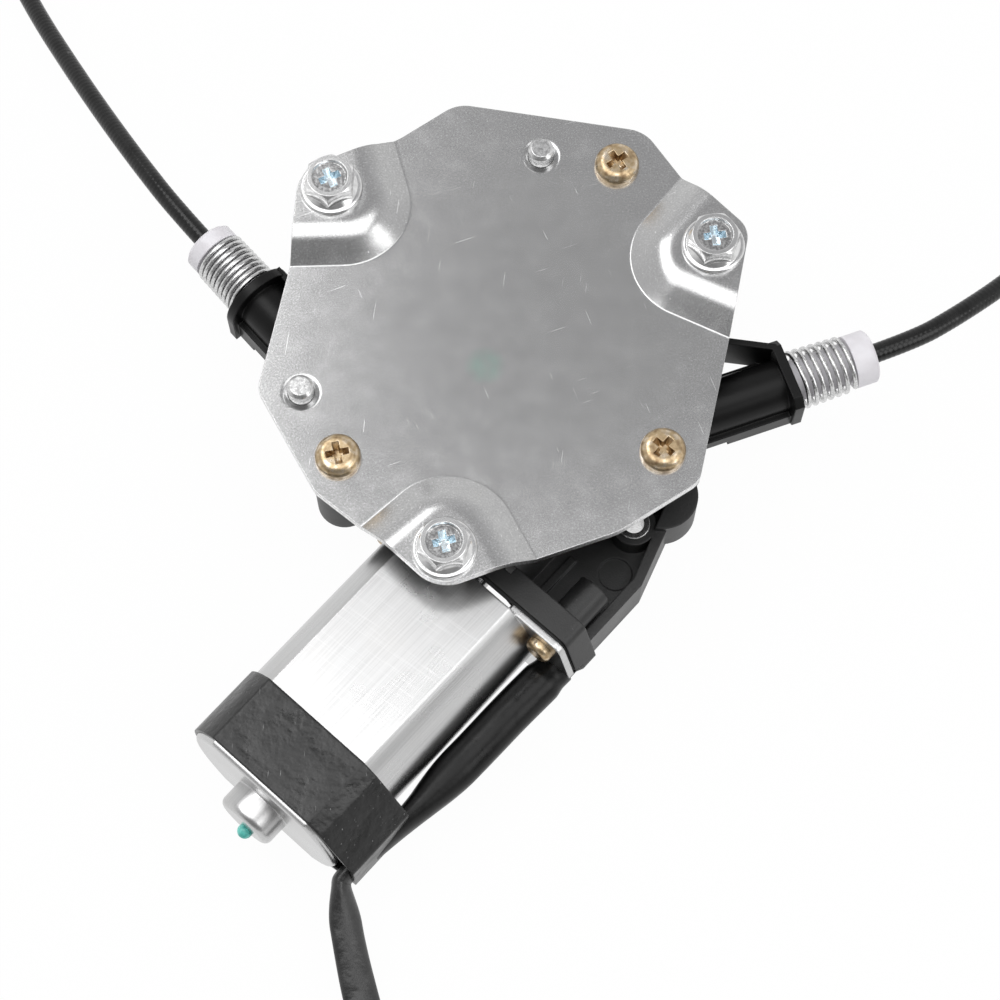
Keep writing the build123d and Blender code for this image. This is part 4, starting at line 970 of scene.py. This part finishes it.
tail_points = [motor_point(-23.2, -5.0, -96.0) * 1000, motor_point(-22.7, -5.4, -104.0) * 1000] + [
    Vector(p) for p in ((-30.1, -115.3, 10.4), (-29.2, -121.8, 8.7), (-27.6, -130.0, 6.6),
                        (-25.3, -139.4, 4.8), (-22.4, -149.2, 4.0), (-19.0, -158.8, 4.0))
]
path = path_through("tail_line", tail_points)
tail = sweep("wiring_tail", path, lambda f: oval(
    blend_between(f, [(0, 0.0036), (0.2, 0.0042), (0.45, 0.0070), (0.8, 0.0078), (1, 0.0066)]),
    blend_between(f, [(0, 0.0080), (0.2, 0.0070), (0.45, 0.0042), (0.8, 0.0036), (1, 0.0044)]),
    blend_between(f, [(0, 0.0), (0.4, 0.0012), (1, 0.0)]),
), tail_sleeve_painted_highlight)
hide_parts("harness_tail", "harness_flat")
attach(tail, "unit")

# ---------------------------------------------------------------- studio
# The unit lies on its housings on a white table, in a pale room. A large soft lamp hangs over
# it, with a second at the far left and a lower one at the near right. The camera looks down at
# it, tilted by 20 degrees.

# The table shines by itself to the camera and in reflections, so it is seen as plain white, but
# it takes light as a matt sheet does.
white_table = bpy.data.materials.new("white_table")
white_table.use_nodes = True
t = white_table.node_tree
for node in list(t.nodes):
    t.nodes.remove(node)
out = t.nodes.new("ShaderNodeOutputMaterial")
matt = t.nodes.new("ShaderNodeBsdfDiffuse")
matt.inputs["Color"].default_value = (0.8, 0.8, 0.8, 1)
glow = t.nodes.new("ShaderNodeEmission")
rays = t.nodes.new("ShaderNodeLightPath")
seen = math_node(t, "MAXIMUM", rays.outputs["Is Camera Ray"], rays.outputs["Is Glossy Ray"])
seen = math_node(t, "MAXIMUM", seen, rays.outputs["Is Transmission Ray"])
both = t.nodes.new("ShaderNodeMixShader")
t.links.new(math_node(t, "MULTIPLY", seen, 0.97), both.inputs["Fac"])
t.links.new(matt.outputs[0], both.inputs[1])
t.links.new(glow.outputs[0], both.inputs[2])
t.links.new(both.outputs[0], out.inputs["Surface"])

table_top = bpy.data.meshes.new("table_top")
low, far = solid_box[0][2], 3
sheet_corners = [(-far, -far, low), (far, -far, low), (far, far, low), (-far, far, low)]
table_top.from_pydata(sheet_corners, [], [(0, 1, 2, 3)])
table_top.materials.append(white_table)
table = put("table_top", table_top)

# The room is white below and grey overhead, and darker on the near side. The camera sees it as
# plain white.
world = bpy.data.worlds.new("studio_room")
bpy.context.scene.world = world
world.use_nodes = True
t = world.node_tree
room = t.nodes["Background"]
where = t.nodes.new("ShaderNodeTexCoord")
parts = t.nodes.new("ShaderNodeSeparateXYZ")
white = t.nodes.new("ShaderNodeBackground")
rays = t.nodes.new("ShaderNodeLightPath")
both = t.nodes.new("ShaderNodeMixShader")
t.links.new(where.outputs["Generated"], parts.inputs[0])
walls = paint(world, parts.outputs["Z"], [
    (0.0, (0.98, 0.98, 0.98)), (0.35, (0.84, 0.84, 0.84)), (0.75, (0.62, 0.62, 0.625)),
    (0.92, (0.44, 0.44, 0.445)), (1.0, (0.4, 0.4, 0.405)),
])
near_side = spread(world, parts.outputs["Y"], -0.75, -0.2, 0.35, 1.0)
t.links.new(walls, room.inputs["Color"])
t.links.new(near_side, room.inputs["Strength"])
t.links.new(rays.outputs["Is Camera Ray"], both.inputs["Fac"])
t.links.new(room.outputs[0], both.inputs[1])
t.links.new(white.outputs[0], both.inputs[2])
t.links.new(both.outputs[0], t.nodes["World Output"].inputs["Surface"])


def softbox(name, place, lean, size, watts):
    """A lamp with a soft white front, facing down and then leaned by degrees about x and y."""
    lamp = bpy.data.lights.new(name, "AREA")
    lamp.shape = "RECTANGLE"
    lamp.size, lamp.size_y = size
    lamp.energy = watts
    box = put(name, lamp)
    box.location = place
    box.rotation_euler = (radians(lean[0]), radians(lean[1]), 0)


# Each lamp's place in metres, its lean in degrees, its size in metres and its power in watts.
softbox("overhead_softbox", (-0.07, -0.12, 0.95), (0, 0), (1.2, 0.6), 4.4)
softbox("left_softbox", (-0.37, 0.34, 0.9), (-24, -22), (0.4, 0.62), 2.2)
softbox("side_softbox", (0.68, -0.36, 0.54), (30, 48), (0.5, 0.5), 1.7)

lens = bpy.data.cameras.new("camera")
lens.sensor_width = 36
lens.lens = 92.09
lens.clip_start = 0.01
camera = put("camera", lens)
camera.location = (0.00425, -0.22551, 0.55683)
camera.rotation_euler = (radians(20), 0, 0)
bpy.context.scene.camera = camera
bpy.context.scene.view_settings.view_transform = "Standard"
